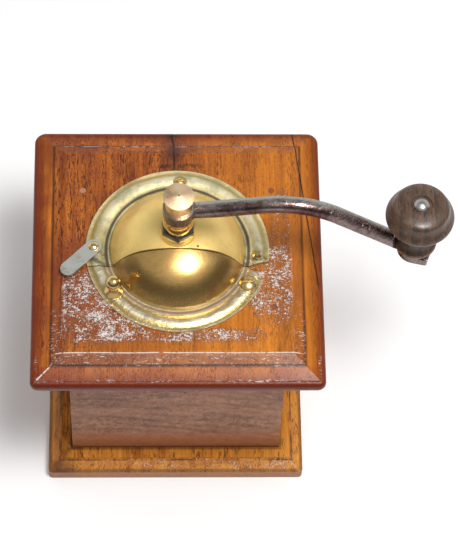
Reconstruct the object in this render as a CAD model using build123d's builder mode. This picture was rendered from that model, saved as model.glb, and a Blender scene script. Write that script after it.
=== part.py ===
from build123d import *
import os
from math import asin, atan2, cos, degrees, radians, sin, sqrt

# Box coffee mill with a hand crank. Millimetres, +Z up. The origin is on the crank's axis,
# level with the underside of the base board. The crank points along +X, the hatch of the
# dome faces -Y, and the drawer pulls out of the back, along +Y.

# Wooden box
base_width = 129.0
base_thickness = 10.4
base_edge_height = 6.5
base_bevel_width = 6.0
base_bevel_rise = 3.1
base_corner_radius = 2.0
case_width = 104.6
case_height = 97.6
case_wall = 8.0
top_width = 140.0
top_thickness = 14.1
top_front_corner_radius = 3.5
top_back_corner_radius = 5.6
top_edge_radius = 2.6
top_lower_radius = 6.0
margin_foot_gap = 0.3
margin_rise = 2.0
shoulder_rise = 2.8
shoulder_width = 5.4
shoulder_step = 0.7
shoulder_radius = 8.0
field_width = 120.0
hopper_radius = 29.0
hole_spare = 0.5

# Wood fasteners
fit_gap = 0.05
nail_radius = 0.9
nail_head_radius = 1.5
nail_head_height = 0.8
nail_length = 38.0
nail_inset = 6.4
nail_spacing = 64.0
nail_shift = 1.7
base_screw_radius = 1.6
base_screw_head_radius = 3.4
base_screw_length = 30.0
base_screw_spacing = 60.0

# Drawer and its opening in the back panel
drawer_width = 74.0
drawer_height = 33.0
drawer_gap = 0.3
drawer_side_wall = 5.0
drawer_bottom_wall = 3.0
drawer_stop_gap = 1.0
drawer_side_drop = 3.0
guide_height = 7.0
drawer_nail_length = 12.0
drawer_nail_radius = 0.7
drawer_nail_rise = 8.0
drawer_nail_drop = 6.0
drawer_knob_radius = 6.0
drawer_knob_reach = 13.0
drawer_knob_foot_radius = 5.4
drawer_knob_foot_height = 1.2
drawer_knob_neck_radius = 3.0
drawer_knob_neck_rise = 2.6
drawer_screw_radius = 1.6
drawer_screw_head_radius = 3.2
drawer_screw_head_height = 1.6

# Dome: hood at the back, hatch at the front, both with a beaded flange
sheet = 1.2
flange_radius = 44.2
dome_radius = 33.7
dome_rise = 19.5
bead_outer_radius = 42.4
bead_inner_radius = 36.0
bead_rise = 0.9
seat_rise = 0.4
seat_margin = 0.4
seam_y = -9.2
seam_gap = 0.4
notch_clearance = 0.9
hood_notch_angle = 15.0
hatch_notch_angle = -43.5
hood_section = [  # share of the radius, share of the rise, slope in degrees
    (1.0, 0.0, 60.0),
    (0.85, 0.42, 50.0),
    (0.62, 0.82, 36.0),
    (0.40, 0.965, 12.0),
    (0.0, 1.0, 0.0),
]
hatch_section = [  # rounder than the hood, so its edge lies a little lower along the seam
    (1.0, 0.0, 60.0),
    (0.85, 0.42, 50.0),
    (0.62, 0.77, 32.0),
    (0.40, 0.92, 16.0),
    (0.0, 1.0, 0.0),
]
boss_radius = 8.4
boss_height = 3.7
boss_flare = 0.8
boss_flare_rise = 0.9

# Fasteners of the dome, each at a radius and an angle round the crank's axis
back_screw_place = (37.3, 88.0)
right_pin_place = (38.3, -5.7)
latch_place = (40.3, 179.0)
hatch_pivot_place = (38.3, -28.9)
hatch_knob_place = (38.2, -143.2)
small_shank_radius = 1.2
small_shank_depth = 9.0
back_screw_head_radius = 3.0
back_screw_rim_height = 0.5
back_screw_head_height = 1.9
right_pin_head_radius = 2.3
right_pin_height = 3.2
right_pin_neck_radius = 1.6
right_pin_crown_radius = 1.4
right_pin_flare_drop = 1.8
right_pin_rim_drop = 1.5
right_pin_crown_drop = 0.9
pivot_shank_radius = 1.8
pivot_shank_depth = 10.0
pivot_head_radius = 4.2
pivot_rim_height = 0.6
pivot_head_height = 2.2
slot_width = 0.9
slot_depth = 0.9
running_gap = 0.05
lift_gap = 0.3
knob_ball_radius = 3.9
knob_ball_height = 9.1
knob_base_radius = 4.3
knob_base_height = 0.9
knob_neck_radius = 1.9
knob_neck_flare = 0.6
knob_flare_rise = 2.2
knob_neck_rise = 3.6
latch_width = 7.5
latch_length = 17.0
latch_sheet = 1.2
latch_angle = 225.0
latch_rivet_radius = 1.5
latch_head_radius = 2.5
latch_rim_height = 0.3
latch_head_height = 1.3
latch_spacer_bore = 0.75

# Hub on the crown of the dome
spindle_radius = 3.95
bush_radius = 6.4
bush_flange_radius = 9.0
bush_flange_height = 2.0
bush_thread_radius = 5.4
hex_height = 2.7
hex_corner_radius = 8.6
hex_chamfer = 0.4
hex_turn = 30.0
end_float = 0.5
collar_height = 9.5
collar_radius = 7.5
collar_bulge = 0.7
eye_height = 6.6
eye_radius = 7.4
square_side = 6.4
cap_radius = 6.4
cap_body_height = 7.6
cap_groove_radius = 5.9
cap_groove_height = 1.0
cap_head_radius = 7.3
cap_head_height = 1.2
cap_cone_rise = 1.5
cap_edge = 0.3
thread_radius = 3.0
thread_length = 8.0

# Crank arm and its handle
arm_angle = -4.0
arm_reach = 112.5
arm_width = 7.6
arm_height = 8.0
arm_edge_radius = 3.5
arm_start = (4.5, 3.2)     # radius, and height above the underside of the eye
arm_crest = (58.6, 18.8)
arm_foot = (109.0, -15.6)
arm_end = (117.0, -16.4)
arm_crest_radius = 42.0
arm_foot_radius = 9.0
handle_eye_radius = 8.3
handle_eye_height = 4.5
eye_relief = 1.4
handle_nose_radius = 1.2
handle_nose_reach = 9.4
handle_nose_angle = -62.0
pin_radius = 2.5
pin_tail_radius = 4.2
pin_tail_foot_radius = 2.1
pin_tail_rim_height = 0.8
pin_tail_height = 1.9
pin_head_radius = 3.6
pin_rim_height = 1.0
pin_head_height = 2.6
washer_thickness = 0.8
washer_radius = 6.0
knob_clearance = 0.3
knob_foot_radius = 10.0
knob_foot_edge = 0.8
knob_heel_bulge_rise = 2.0
knob_heel_tuck = 1.0
knob_heel_height = 4.2
knob_waist_radius = 7.2
knob_waist_height = 12.1
knob_rim_radius = 16.1
knob_rim_height = 25.2
knob_height = 35.7
knob_under = [(0.58, 6.0), (0.90, 2.6)]  # share of the rim's radius, drop below the rim
knob_crown_share = 0.88
knob_crown_drop = 6.6
knob_recess_radius = 5.0
knob_recess_edge = 0.4
knob_recess_depth = 1.0

# Mill works under the top board
funnel_flange_radius = 40.0
funnel_flange_height = 4.0
funnel_wall = 3.0
funnel_lip = 0.5
funnel_throat_radius = 13.6
funnel_throat_drop = 10.0
burr_radius = 15.95
burr_height = 20.0
burr_ledge = 1.0
burr_lip = 0.6
funnel_skirt = 3.0
collar_wall = 4.0
burr_gap = 0.6
burr_mouth_drop = 4.0
inner_burr_low_radius = 11.6
inner_burr_high_radius = 7.2
inner_burr_extra = 2.0
burr_teeth = 12
burr_tooth_depth = 0.9
burr_tooth_width = 1.5
burr_pin_radius = 1.25
burr_pin_relief = 0.8
mill_screw_radius = 1.5
mill_screw_head_radius = 3.0
mill_screw_head_height = 1.8
mill_screw_length = 14.0
mill_screw_circle = 35.6
bridge_drop = 17.0
bridge_thickness = 4.0
bridge_width = 13.0
bridge_leg = 3.6
bridge_screw_radius = 1.3
bridge_screw_head_radius = 2.4
bridge_screw_head_height = 1.8
bridge_screw_grip = 6.0
adjuster_radius = 3.95
adjuster_wheel_radius = 11.0
adjuster_wheel_height = 6.0
adjuster_wheel_gap = 1.5
adjuster_wheel_chamfer = 0.6
adjuster_stand = 3.0
adjuster_flutes = 24
adjuster_flute_radius = 0.7
step_radius = 5.0
step_height = 2.0
step_chamfer = 0.5
detent_sheet = 0.7
detent_gap = 0.5
detent_width = 6.0
detent_screw_radius = 1.0
detent_screw_head_radius = 1.4
detent_tab_margin = 0.3
detent_tab_reach = 1.5
detent_screw_head_height = 1.2
spring_shoulder_radius = 5.2
spring_shoulder_height = 2.0
spring_mean_radius = 6.4
spring_wire_radius = 0.8
spring_pitch = 4.1
spring_washer_radius = 8.0
spring_washer_height = 1.0
spring_shoulder_rise = 3.0

# Levels and places worked out from the sizes above
case_top = base_thickness + case_height
deck = case_top + top_thickness
flange_top = deck + sheet
crown = deck + dome_rise
boss_top = crown + boss_height
hex_top = boss_top + hex_height
collar_low = hex_top + end_float
eye_low = collar_low + collar_height
eye_top = eye_low + eye_height
case_half = case_width / 2
inner_half = case_half - case_wall
latch_low = flange_top + bead_rise + lift_gap
seat_z = flange_top + seat_rise
throat_z = case_top - funnel_throat_drop
burr_top = throat_z - burr_ledge
burr_low = burr_top - burr_height
funnel_low = burr_low - funnel_skirt
collar_outer_radius = burr_radius + fit_gap + collar_wall
bridge_low = funnel_low - bridge_drop
bridge_top = bridge_low + bridge_thickness
wheel_top = bridge_low - adjuster_wheel_gap
step_low = bridge_top + adjuster_stand
step_top = step_low + step_height
shoulder_low = case_top + spring_shoulder_rise
washer_low = shoulder_low + spring_shoulder_height
spring_low = washer_low + spring_washer_height
bush_low = crown - sheet - bush_flange_height
handle_eye_top = eye_low + arm_end[1] + handle_eye_height / 2
handle_eye_low = handle_eye_top - handle_eye_height
knob_low = handle_eye_top + washer_thickness + knob_clearance
knob_top = knob_low + knob_height
recess_z = knob_top - knob_recess_depth
handle_x = arm_reach * cos(radians(arm_angle))
handle_y = arm_reach * sin(radians(arm_angle))
handle_xy = (handle_x, handle_y)


def polar(place):
    """X and Y of a (radius, angle) place round the crank's axis."""
    radius, angle = place
    return radius * cos(radians(angle)), radius * sin(radians(angle))


back_screw_xy = polar(back_screw_place)
right_pin_xy = polar(right_pin_place)
latch_xy = polar(latch_place)
pivot_xy = polar(hatch_pivot_place)
hatch_knob_xy = polar(hatch_knob_place)
mill_screw_places = [polar((mill_screw_circle, 45 + 90 * turn)) for turn in range(4)]
side_nail_x = case_half - nail_inset
nail_places = [
    (side * side_nail_x, nail_shift + end * nail_spacing / 2) for side in (-1, 1) for end in (-1, 1)
]
base_screw_x = case_half - case_wall / 2
base_screw_places = [
    (side * base_screw_x, end * base_screw_spacing / 2) for side in (-1, 1) for end in (-1, 1)
]
bridge_leg_x = burr_radius + fit_gap + collar_wall - bridge_leg / 2
detent_x = adjuster_wheel_radius + detent_gap + detent_sheet + detent_tab_reach
bridge_screw_places = [(-bridge_leg_x, 0), (bridge_leg_x, 0)]


def upright(x, y):
    """A vertical plane through (x, y): its X is the radius and its Y is the height."""
    return Plane(origin=(x, y, 0), x_dir=(1, 0, 0), z_dir=(0, -1, 0))


def turn_outline(points, x=0.0, y=0.0, mode=Mode.ADD):
    """Turn a closed outline of (radius, height) points about a vertical axis."""
    with BuildSketch(upright(x, y)) as outline:
        with BuildLine():
            Polyline(*points, close=True)
        make_face()
    revolve(outline.sketch, axis=Axis((x, y, 0), (0, 0, 1)), mode=mode)


def bore(radius, low, high, places):
    """Drill the same vertical hole at each place."""
    with Locations(*[(x, y, low) for x, y in places]):
        Cylinder(radius, high - low, align=(Align.CENTER, Align.CENTER, Align.MIN), mode=Mode.SUBTRACT)


def rod(radius, low, high, places):
    """Stand the same round bar at each place."""
    with Locations(*[(x, y, low) for x, y in places]):
        Cylinder(radius, high - low, align=(Align.CENTER, Align.CENTER, Align.MIN))


def block(low, high, mode=Mode.ADD):
    """A box between two opposite corners."""
    middle = [(a + b) / 2 for a, b in zip(low, high)]
    size = [b - a for a, b in zip(low, high)]
    with Locations(tuple(middle)):
        Box(*size, mode=mode)


def dome_curve(section, inset):
    """Points on a dome's section, moved inwards by inset, square to the surface."""
    return [
        (
            share_out * dome_radius - inset * sin(radians(slope)),
            deck + share_up * dome_rise - inset * cos(radians(slope)),
        )
        for share_out, share_up, slope in section
    ]


def turn_dome(section):
    """A whole dome shell and its beaded flange, before it is parted along the seam."""
    foot_slope = radians(section[0][2])
    leave = (-cos(foot_slope), sin(foot_slope))
    arrive = (-1.0, 0.0)
    outside = dome_curve(section, 0.0)
    inside = dome_curve(section, sheet)
    with BuildSketch(upright(0, 0)) as shell:
        with BuildLine():
            Spline(*outside, tangents=[leave, arrive])
            Line(outside[-1], inside[-1])
            Spline(*inside, tangents=[leave, arrive])
            Line(inside[0], outside[0])
        make_face()
    revolve(shell.sketch, axis=Axis.Z)
    bead_middle = (bead_outer_radius + bead_inner_radius) / 2
    with BuildSketch(upright(0, 0)) as flange:
        with BuildLine():
            rim = Polyline(
                (bead_inner_radius, flange_top),
                (dome_radius - sheet, flange_top),
                (dome_radius - sheet, deck),
                (flange_radius, deck),
                (flange_radius, flange_top),
                (bead_outer_radius, flange_top),
            )
            ThreePointArc(rim @ 1, (bead_middle, flange_top + bead_rise), rim @ 0)
        make_face()
    revolve(flange.sketch, axis=Axis.Z)
    with BuildSketch(upright(0, 0)) as hollow:
        with BuildLine():
            Polyline(inside[0], (inside[0][0], deck - sheet), (0, deck - sheet), inside[-1])
            Spline(*inside, tangents=[leave, arrive])
        make_face()
    revolve(hollow.sketch, axis=Axis.Z, mode=Mode.SUBTRACT)
    bore(flange_radius, deck - dome_rise, deck, [(0, 0)])


def cut_beyond(y_edge, direction, notch_angle):
    """Cut away the dome on one side of the seam, and the notch at its right end."""
    far = 2 * flange_radius
    notch_x = sqrt(dome_radius**2 - seam_y**2) + notch_clearance
    slope = sin(radians(notch_angle)) / cos(radians(notch_angle))
    with BuildSketch(Plane.XY.offset(deck - far)) as waste:
        with BuildLine():
            Polyline(
                (-far, y_edge),
                (notch_x, y_edge),
                (far, y_edge + (far - notch_x) * slope),
                (far, y_edge + direction * far),
                (-far, y_edge + direction * far),
                close=True,
            )
        make_face()
    extrude(waste.sketch, amount=2 * far, mode=Mode.SUBTRACT)


def slotted(x, y, face, width):
    """The screwdriver slot across a head whose outer face is at one height."""
    block(
        (x - width, y - slot_width / 2, face - slot_depth),
        (x + width, y + slot_width / 2, face + slot_depth),
        mode=Mode.SUBTRACT,
    )


def domed_head(x, y, low, radius, rim, height):
    """A round head: an upright rim, then a dome up to its full height."""
    rise = height - rim
    sphere_radius = (radius**2 + rise**2) / (2 * rise)
    half_angle = asin(radius / sphere_radius) / 2
    centre = low + height - sphere_radius
    halfway = (sphere_radius * sin(half_angle), centre + sphere_radius * cos(half_angle))
    with BuildSketch(upright(x, y)) as outline:
        with BuildLine():
            sides = Polyline((0, low + height), (0, low), (radius, low), (radius, low + rim))
            ThreePointArc(sides @ 1, halfway, sides @ 0)
        make_face()
    revolve(outline.sketch, axis=Axis((x, y, 0), (0, 0, 1)))


os.makedirs("parts", exist_ok=True)

# Base board: an upright edge, a bevel, and a ledge that the case stands on
ledge_width = base_width - 2 * base_bevel_width
with BuildPart() as base_board:
    with BuildSketch():
        RectangleRounded(base_width, base_width, base_corner_radius)
    extrude(amount=base_edge_height)
    with BuildSketch(Plane.XY.offset(base_edge_height)):
        RectangleRounded(base_width, base_width, base_corner_radius)
    with BuildSketch(Plane.XY.offset(base_edge_height + base_bevel_rise)):
        RectangleRounded(ledge_width, ledge_width, base_corner_radius)
    loft()
    with BuildSketch(Plane.XY.offset(base_edge_height)):
        Rectangle(ledge_width - 1.0, ledge_width - 1.0)
    extrude(amount=base_thickness - base_edge_height)
    for x, y in base_screw_places:
        turn_outline(
            [
                (0, 0),
                (base_screw_head_radius + fit_gap, 0),
                (base_screw_radius + fit_gap, base_screw_head_radius - base_screw_radius),
                (base_screw_radius + fit_gap, base_thickness),
                (0, base_thickness),
            ],
            x,
            y,
            Mode.SUBTRACT,
        )
base_board.part.label = "base_board"
export_step(base_board.part, "parts/base_board.step")

# Case: front and back panels run the full width, the sides stand between them
side_screw_top = base_screw_length + hole_spare
with BuildPart() as case_front:
    block((-case_half, -case_half, base_thickness), (case_half, -inner_half, case_top))
case_front.part.label = "case_front"
export_step(case_front.part, "parts/case_front.step")

opening_half = drawer_width / 2 + drawer_gap
opening_top = base_thickness + drawer_height + 2 * drawer_gap
with BuildPart() as case_back:
    block((-case_half, inner_half, base_thickness), (case_half, case_half, case_top))
    block(
        (-opening_half, inner_half - case_wall, base_thickness - case_wall),
        (opening_half, case_half + case_wall, opening_top),
        mode=Mode.SUBTRACT,
    )
case_back.part.label = "case_back"
export_step(case_back.part, "parts/case_back.step")

with BuildPart() as case_left:
    block((-case_half, -inner_half, base_thickness), (-inner_half, inner_half, case_top))
    bore(nail_radius + fit_gap, deck - nail_length - fit_gap, case_top, nail_places)
    bore(base_screw_radius + fit_gap, base_thickness, side_screw_top, base_screw_places)
case_left.part.label = "case_left"
export_step(case_left.part, "parts/case_left.step")

with BuildPart() as case_right:
    block((inner_half, -inner_half, base_thickness), (case_half, inner_half, case_top))
    bore(nail_radius + fit_gap, deck - nail_length - fit_gap, case_top, nail_places)
    bore(base_screw_radius + fit_gap, base_thickness, side_screw_top, base_screw_places)
case_right.part.label = "case_right"
export_step(case_right.part, "parts/case_right.step")

with BuildPart() as base_screws:
    for x, y in base_screw_places:
        turn_outline(
            [
                (0, 0),
                (base_screw_head_radius, 0),
                (base_screw_radius, base_screw_head_radius - base_screw_radius),
                (base_screw_radius, base_screw_length - base_screw_radius),
                (0, base_screw_length),
            ],
            x,
            y,
        )
        slotted(x, y, 0, base_screw_head_radius)
base_screws.part.label = "base_screws"
export_step(base_screws.part, "parts/base_screws.step")

# Top board: rounded edge, sloping margin, sloping shoulder, raised field
field_low = deck - shoulder_rise
margin_low = field_low - margin_rise
margin_width = top_width - 2 * (top_edge_radius + margin_foot_gap)
with BuildPart() as top_board:
    with BuildSketch(Plane.XY.offset(case_top)):
        Rectangle(top_width, top_width)
        fillet(vertices().group_by(Axis.Y)[0], top_front_corner_radius)
        fillet(vertices().group_by(Axis.Y)[-1], top_back_corner_radius)
    extrude(amount=margin_low - case_top)
    fillet(faces().sort_by(Axis.Z)[-1].edges(), top_edge_radius)
    fillet(faces().sort_by(Axis.Z)[0].edges(), top_lower_radius)
    with BuildSketch(Plane.XY.offset(margin_low)):
        Rectangle(margin_width, margin_width)
    with BuildSketch(Plane.XY.offset(field_low)):
        Rectangle(field_width, field_width)
    loft()
    with BuildSketch(Plane.XY.offset(field_low)):
        Rectangle(field_width, field_width)
    extrude(amount=shoulder_step)
    with BuildSketch(Plane.XY.offset(field_low + shoulder_step)):
        Rectangle(field_width, field_width)
    with BuildSketch(Plane.XY.offset(deck)):
        Rectangle(field_width - 2 * shoulder_width, field_width - 2 * shoulder_width)
    loft()
    fillet(faces().sort_by(Axis.Z)[-1].edges(), shoulder_radius)
    bore(hopper_radius, case_top, deck, [(0, 0)])
    bore(nail_radius + fit_gap, case_top, deck, nail_places)
    bore(nail_head_radius + fit_gap, deck - nail_head_height - fit_gap, deck, nail_places)
    bore(mill_screw_radius + fit_gap, case_top, case_top + mill_screw_length, mill_screw_places)
    shank_bottom = deck - small_shank_depth - fit_gap
    bore(small_shank_radius + fit_gap, shank_bottom, deck, [back_screw_xy, right_pin_xy])
    bore(pivot_shank_radius + fit_gap, deck - pivot_shank_depth - fit_gap, deck, [pivot_xy])
    bore(latch_rivet_radius + fit_gap, shank_bottom, deck, [latch_xy])
top_board.part.label = "top_board"
export_step(top_board.part, "parts/top_board.step")

with BuildPart() as top_nails:
    rod(nail_radius, deck - nail_length, deck - nail_head_height, nail_places)
    rod(nail_head_radius, deck - nail_head_height, deck, nail_places)
top_nails.part.label = "top_nails"
export_step(top_nails.part, "parts/top_nails.step")

# Dome: the fixed hood behind the seam
with BuildPart() as hood_shell:
    turn_dome(hood_section)
    boss_foot = crown - sheet
    turn_outline(
        [
            (0, boss_foot),
            (boss_radius + boss_flare, boss_foot),
            (boss_radius, crown + boss_flare_rise),
            (boss_radius, boss_top),
            (0, boss_top),
        ]
    )
    cut_beyond(seam_y + seam_gap / 2, -1, hood_notch_angle)
    bore(bush_radius + fit_gap, bush_low - 1, boss_top, [(0, 0)])
    bore(bush_flange_radius + fit_gap, bush_low - 1, bush_low + bush_flange_height, [(0, 0)])
    bore(small_shank_radius + fit_gap, deck, seat_z, [back_screw_xy, right_pin_xy])
    bore(latch_rivet_radius + fit_gap, deck, seat_z, [latch_xy])
    bore(back_screw_head_radius + seat_margin, seat_z, flange_top + bead_rise, [back_screw_xy])
    bore(right_pin_head_radius + seat_margin, seat_z, flange_top + bead_rise, [right_pin_xy])
    bore(latch_head_radius + seat_margin, seat_z, flange_top + bead_rise, [latch_xy])
hood_shell.part.label = "hood_shell"
export_step(hood_shell.part, "parts/hood_shell.step")

with BuildPart() as hatch_shell:
    turn_dome(hatch_section)
    cut_beyond(seam_y - seam_gap / 2, 1, hatch_notch_angle)
    bore(pivot_shank_radius + running_gap, deck, seat_z, [pivot_xy])
    bore(knob_neck_radius + fit_gap, deck, seat_z, [hatch_knob_xy])
    bore(pivot_head_radius + seat_margin, seat_z, flange_top + bead_rise, [pivot_xy])
    bore(knob_base_radius + seat_margin, seat_z, flange_top + bead_rise, [hatch_knob_xy])
hatch_shell.part.label = "hatch_shell"
export_step(hatch_shell.part, "parts/hatch_shell.step")

# Small fasteners of the flange; their heads seat on flats in the bead
with BuildPart() as hood_back_screw:
    x, y = back_screw_xy
    rod(small_shank_radius, deck - small_shank_depth, seat_z, [back_screw_xy])
    domed_head(x, y, seat_z, back_screw_head_radius, back_screw_rim_height, back_screw_head_height)
    slotted(x, y, seat_z + back_screw_head_height, back_screw_head_radius)
hood_back_screw.part.label = "hood_back_screw"
export_step(hood_back_screw.part, "parts/hood_back_screw.step")

with BuildPart() as hood_right_pin:
    x, y = right_pin_xy
    rod(small_shank_radius, deck - small_shank_depth, seat_z, [right_pin_xy])
    pin_top = seat_z + right_pin_height
    turn_outline(
        [
            (0, seat_z),
            (right_pin_neck_radius, seat_z),
            (right_pin_neck_radius, pin_top - right_pin_flare_drop),
            (right_pin_head_radius, pin_top - right_pin_rim_drop),
            (right_pin_head_radius, pin_top - right_pin_crown_drop),
            (right_pin_crown_radius, pin_top),
            (0, pin_top),
        ],
        x,
        y,
    )
hood_right_pin.part.label = "hood_right_pin"
export_step(hood_right_pin.part, "parts/hood_right_pin.step")

with BuildPart() as hatch_pivot_screw:
    x, y = pivot_xy
    head_low = seat_z + running_gap
    rod(pivot_shank_radius, deck - pivot_shank_depth, head_low, [pivot_xy])
    domed_head(x, y, head_low, pivot_head_radius, pivot_rim_height, pivot_head_height)
    slotted(x, y, head_low + pivot_head_height, pivot_head_radius)
hatch_pivot_screw.part.label = "hatch_pivot_screw"
export_step(hatch_pivot_screw.part, "parts/hatch_pivot_screw.step")

with BuildPart() as hatch_knob:
    x, y = hatch_knob_xy
    rod(knob_neck_radius, deck, seat_z + knob_base_height, [hatch_knob_xy])
    turn_outline(
        [
            (0, seat_z),
            (knob_base_radius, seat_z),
            (knob_base_radius, seat_z + knob_base_height),
            (knob_neck_radius + knob_neck_flare, seat_z + knob_flare_rise),
            (knob_neck_radius, seat_z + knob_neck_rise),
            (knob_neck_radius, flange_top + knob_ball_height),
            (0, flange_top + knob_ball_height),
        ],
        x,
        y,
    )
    with Locations((x, y, flange_top + knob_ball_height)):
        Sphere(knob_ball_radius)
hatch_knob.part.label = "hatch_knob"
export_step(hatch_knob.part, "parts/hatch_knob.step")

# Latch lever at the left end of the hood, on its rivet
latch_tip = (
    latch_xy[0] + latch_length * cos(radians(latch_angle)),
    latch_xy[1] + latch_length * sin(radians(latch_angle)),
)
with BuildPart() as latch_lever:
    with BuildSketch(Plane.XY.offset(latch_low)):
        with Locations(latch_xy, latch_tip):
            Circle(latch_width / 2)
        make_hull()
    extrude(amount=latch_sheet)
    bore(latch_rivet_radius + running_gap, latch_low, latch_low + latch_sheet, [latch_xy])
latch_lever.part.label = "latch_lever"
export_step(latch_lever.part, "parts/latch_lever.step")

with BuildPart() as latch_rivet:
    x, y = latch_xy
    head_low = latch_low + latch_sheet + running_gap
    rod(latch_rivet_radius, deck - small_shank_depth, head_low, [latch_xy])
    turn_outline(
        [
            (latch_spacer_bore, seat_z),
            (latch_head_radius, seat_z),
            (latch_head_radius, latch_low - running_gap),
            (latch_spacer_bore, latch_low - running_gap),
        ],
        x,
        y,
    )
    domed_head(x, y, head_low, latch_head_radius, latch_rim_height, latch_head_height)
latch_rivet.part.label = "latch_rivet"
export_step(latch_rivet.part, "parts/latch_rivet.step")

# Hub: bush through the boss, locked by the hexagonal nut
with BuildPart() as top_bearing_bush:
    turn_outline(
        [
            (0, bush_low),
            (bush_flange_radius, bush_low),
            (bush_flange_radius, bush_low + bush_flange_height),
            (bush_radius, bush_low + bush_flange_height),
            (bush_radius, boss_top),
            (bush_thread_radius, boss_top),
            (bush_thread_radius, hex_top),
            (0, hex_top),
        ]
    )
    bore(spindle_radius + running_gap, bush_low, hex_top, [(0, 0)])
top_bearing_bush.part.label = "top_bearing_bush"
export_step(top_bearing_bush.part, "parts/top_bearing_bush.step")

with BuildPart() as hub_hex_nut:
    with BuildSketch(Plane.XY.offset(boss_top)):
        RegularPolygon(hex_corner_radius, 6, rotation=hex_turn)
        Circle(bush_thread_radius + fit_gap, mode=Mode.SUBTRACT)
    extrude(amount=hex_height)
    chamfer(faces().sort_by(Axis.Z)[-1].edges().filter_by(GeomType.LINE), hex_chamfer)
hub_hex_nut.part.label = "hub_hex_nut"
export_step(hub_hex_nut.part, "parts/hub_hex_nut.step")

# Spindle: rests on the step bearing, runs up through the bush, square in the crank's eye
thread_top = eye_top + thread_length
with BuildPart() as spindle:
    rod(spindle_radius, step_top, eye_low, [(0, 0)])
    rod(spring_shoulder_radius, shoulder_low, washer_low, [(0, 0)])
    with BuildSketch(Plane.XY.offset(eye_low)):
        Rectangle(square_side, square_side)
    extrude(amount=eye_height)
    rod(thread_radius, eye_top, thread_top, [(0, 0)])
    with Locations((0, 0, burr_top)):
        Cylinder(burr_pin_radius + fit_gap, 4 * spindle_radius, rotation=(90, 0, 0), mode=Mode.SUBTRACT)
spindle.part.label = "spindle"
export_step(spindle.part, "parts/spindle.step")

with BuildPart() as crank_collar:
    rim_radius = collar_radius - collar_bulge
    with BuildSketch(upright(0, 0)):
        with BuildLine():
            ends = Polyline((rim_radius, eye_low), (0, eye_low), (0, collar_low), (rim_radius, collar_low))
            ThreePointArc(ends @ 1, (collar_radius, (collar_low + eye_low) / 2), ends @ 0)
        make_face()
    revolve(axis=Axis.Z)
    bore(spindle_radius + fit_gap, collar_low, eye_low, [(0, 0)])
crank_collar.part.label = "crank_collar"
export_step(crank_collar.part, "parts/crank_collar.step")

# Crank arm: a forged bar that rises from the hub eye, crests and drops to the handle's eye
arm_plane = Plane(
    origin=(0, 0, eye_low),
    x_dir=(cos(radians(arm_angle)), sin(radians(arm_angle)), 0),
    z_dir=(sin(radians(arm_angle)), -cos(radians(arm_angle)), 0),
)
with BuildPart() as crank_arm:
    with BuildSketch(arm_plane):
        with BuildLine():
            bends = [arm_crest_radius, arm_foot_radius]
            FilletPolyline(arm_start, arm_crest, arm_foot, arm_end, radius=bends)
        trace(line_width=arm_height)
    extrude(amount=arm_width / 2, both=True)
    arm_sides = faces().filter_by(Axis(arm_plane.origin, arm_plane.z_dir))
    fillet(arm_sides.edges(), arm_edge_radius)
    rod(eye_radius, eye_low, eye_top, [(0, 0)])
    bore(knob_foot_radius + eye_relief, handle_eye_top, handle_eye_top + arm_height, [handle_xy])
    bore(handle_eye_radius + eye_relief, handle_eye_low - arm_height, handle_eye_low, [handle_xy])
    with BuildSketch(Plane.XY.offset(handle_eye_low)):
        with Locations((handle_x, handle_y)):
            Circle(handle_eye_radius)
            with PolarLocations(handle_nose_reach, 1, start_angle=handle_nose_angle):
                Circle(handle_nose_radius)
        make_hull()
    extrude(amount=handle_eye_height)
    bore(pin_radius + fit_gap, handle_eye_low, handle_eye_top, [handle_xy])
    with BuildSketch(Plane.XY.offset(eye_low)):
        Rectangle(square_side + 2 * fit_gap, square_side + 2 * fit_gap)
    extrude(amount=eye_height + arm_height, mode=Mode.SUBTRACT)
    bore(cap_radius + eye_relief, eye_top, eye_top + arm_height, [(0, 0)])
    bore(collar_radius + eye_relief, eye_low - arm_height, eye_low, [(0, 0)])
crank_arm.part.label = "crank_arm"
export_step(crank_arm.part, "parts/crank_arm.step")

with BuildPart() as cap_nut:
    groove_low = eye_top + cap_body_height
    head_low = groove_low + cap_groove_height
    head_high = head_low + cap_head_height
    turn_outline(
        [
            (0, eye_top),
            (cap_radius, eye_top),
            (cap_radius, groove_low),
            (cap_groove_radius, groove_low + cap_edge),
            (cap_groove_radius, head_low),
            (cap_head_radius - cap_edge, head_low),
            (cap_head_radius, head_low + cap_edge),
            (cap_head_radius, head_high),
            (0, head_high + cap_cone_rise),
        ]
    )
    bore(thread_radius + fit_gap, eye_top, thread_top + hole_spare, [(0, 0)])
cap_nut.part.label = "cap_nut"
export_step(cap_nut.part, "parts/cap_nut.step")

# Handle: the pin is riveted under the arm's eye, and the knob turns on it
with BuildPart() as handle_pin:
    head_z = recess_z + running_gap
    turn_outline(
        [
            (0, handle_eye_low - pin_tail_height),
            (pin_tail_foot_radius, handle_eye_low - pin_tail_height),
            (pin_tail_radius, handle_eye_low - pin_tail_rim_height),
            (pin_tail_radius, handle_eye_low),
            (pin_radius, handle_eye_low),
            (pin_radius, head_z),
            (0, head_z),
        ],
        handle_x,
        handle_y,
    )
    domed_head(handle_x, handle_y, head_z, pin_head_radius, pin_rim_height, pin_head_height)
handle_pin.part.label = "handle_pin"
export_step(handle_pin.part, "parts/handle_pin.step")

with BuildPart() as handle_washer:
    rod(washer_radius, handle_eye_top, handle_eye_top + washer_thickness, [handle_xy])
    bore(pin_radius + fit_gap, handle_eye_top, handle_eye_top + washer_thickness, [handle_xy])
handle_washer.part.label = "handle_washer"
export_step(handle_washer.part, "parts/handle_washer.step")

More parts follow.
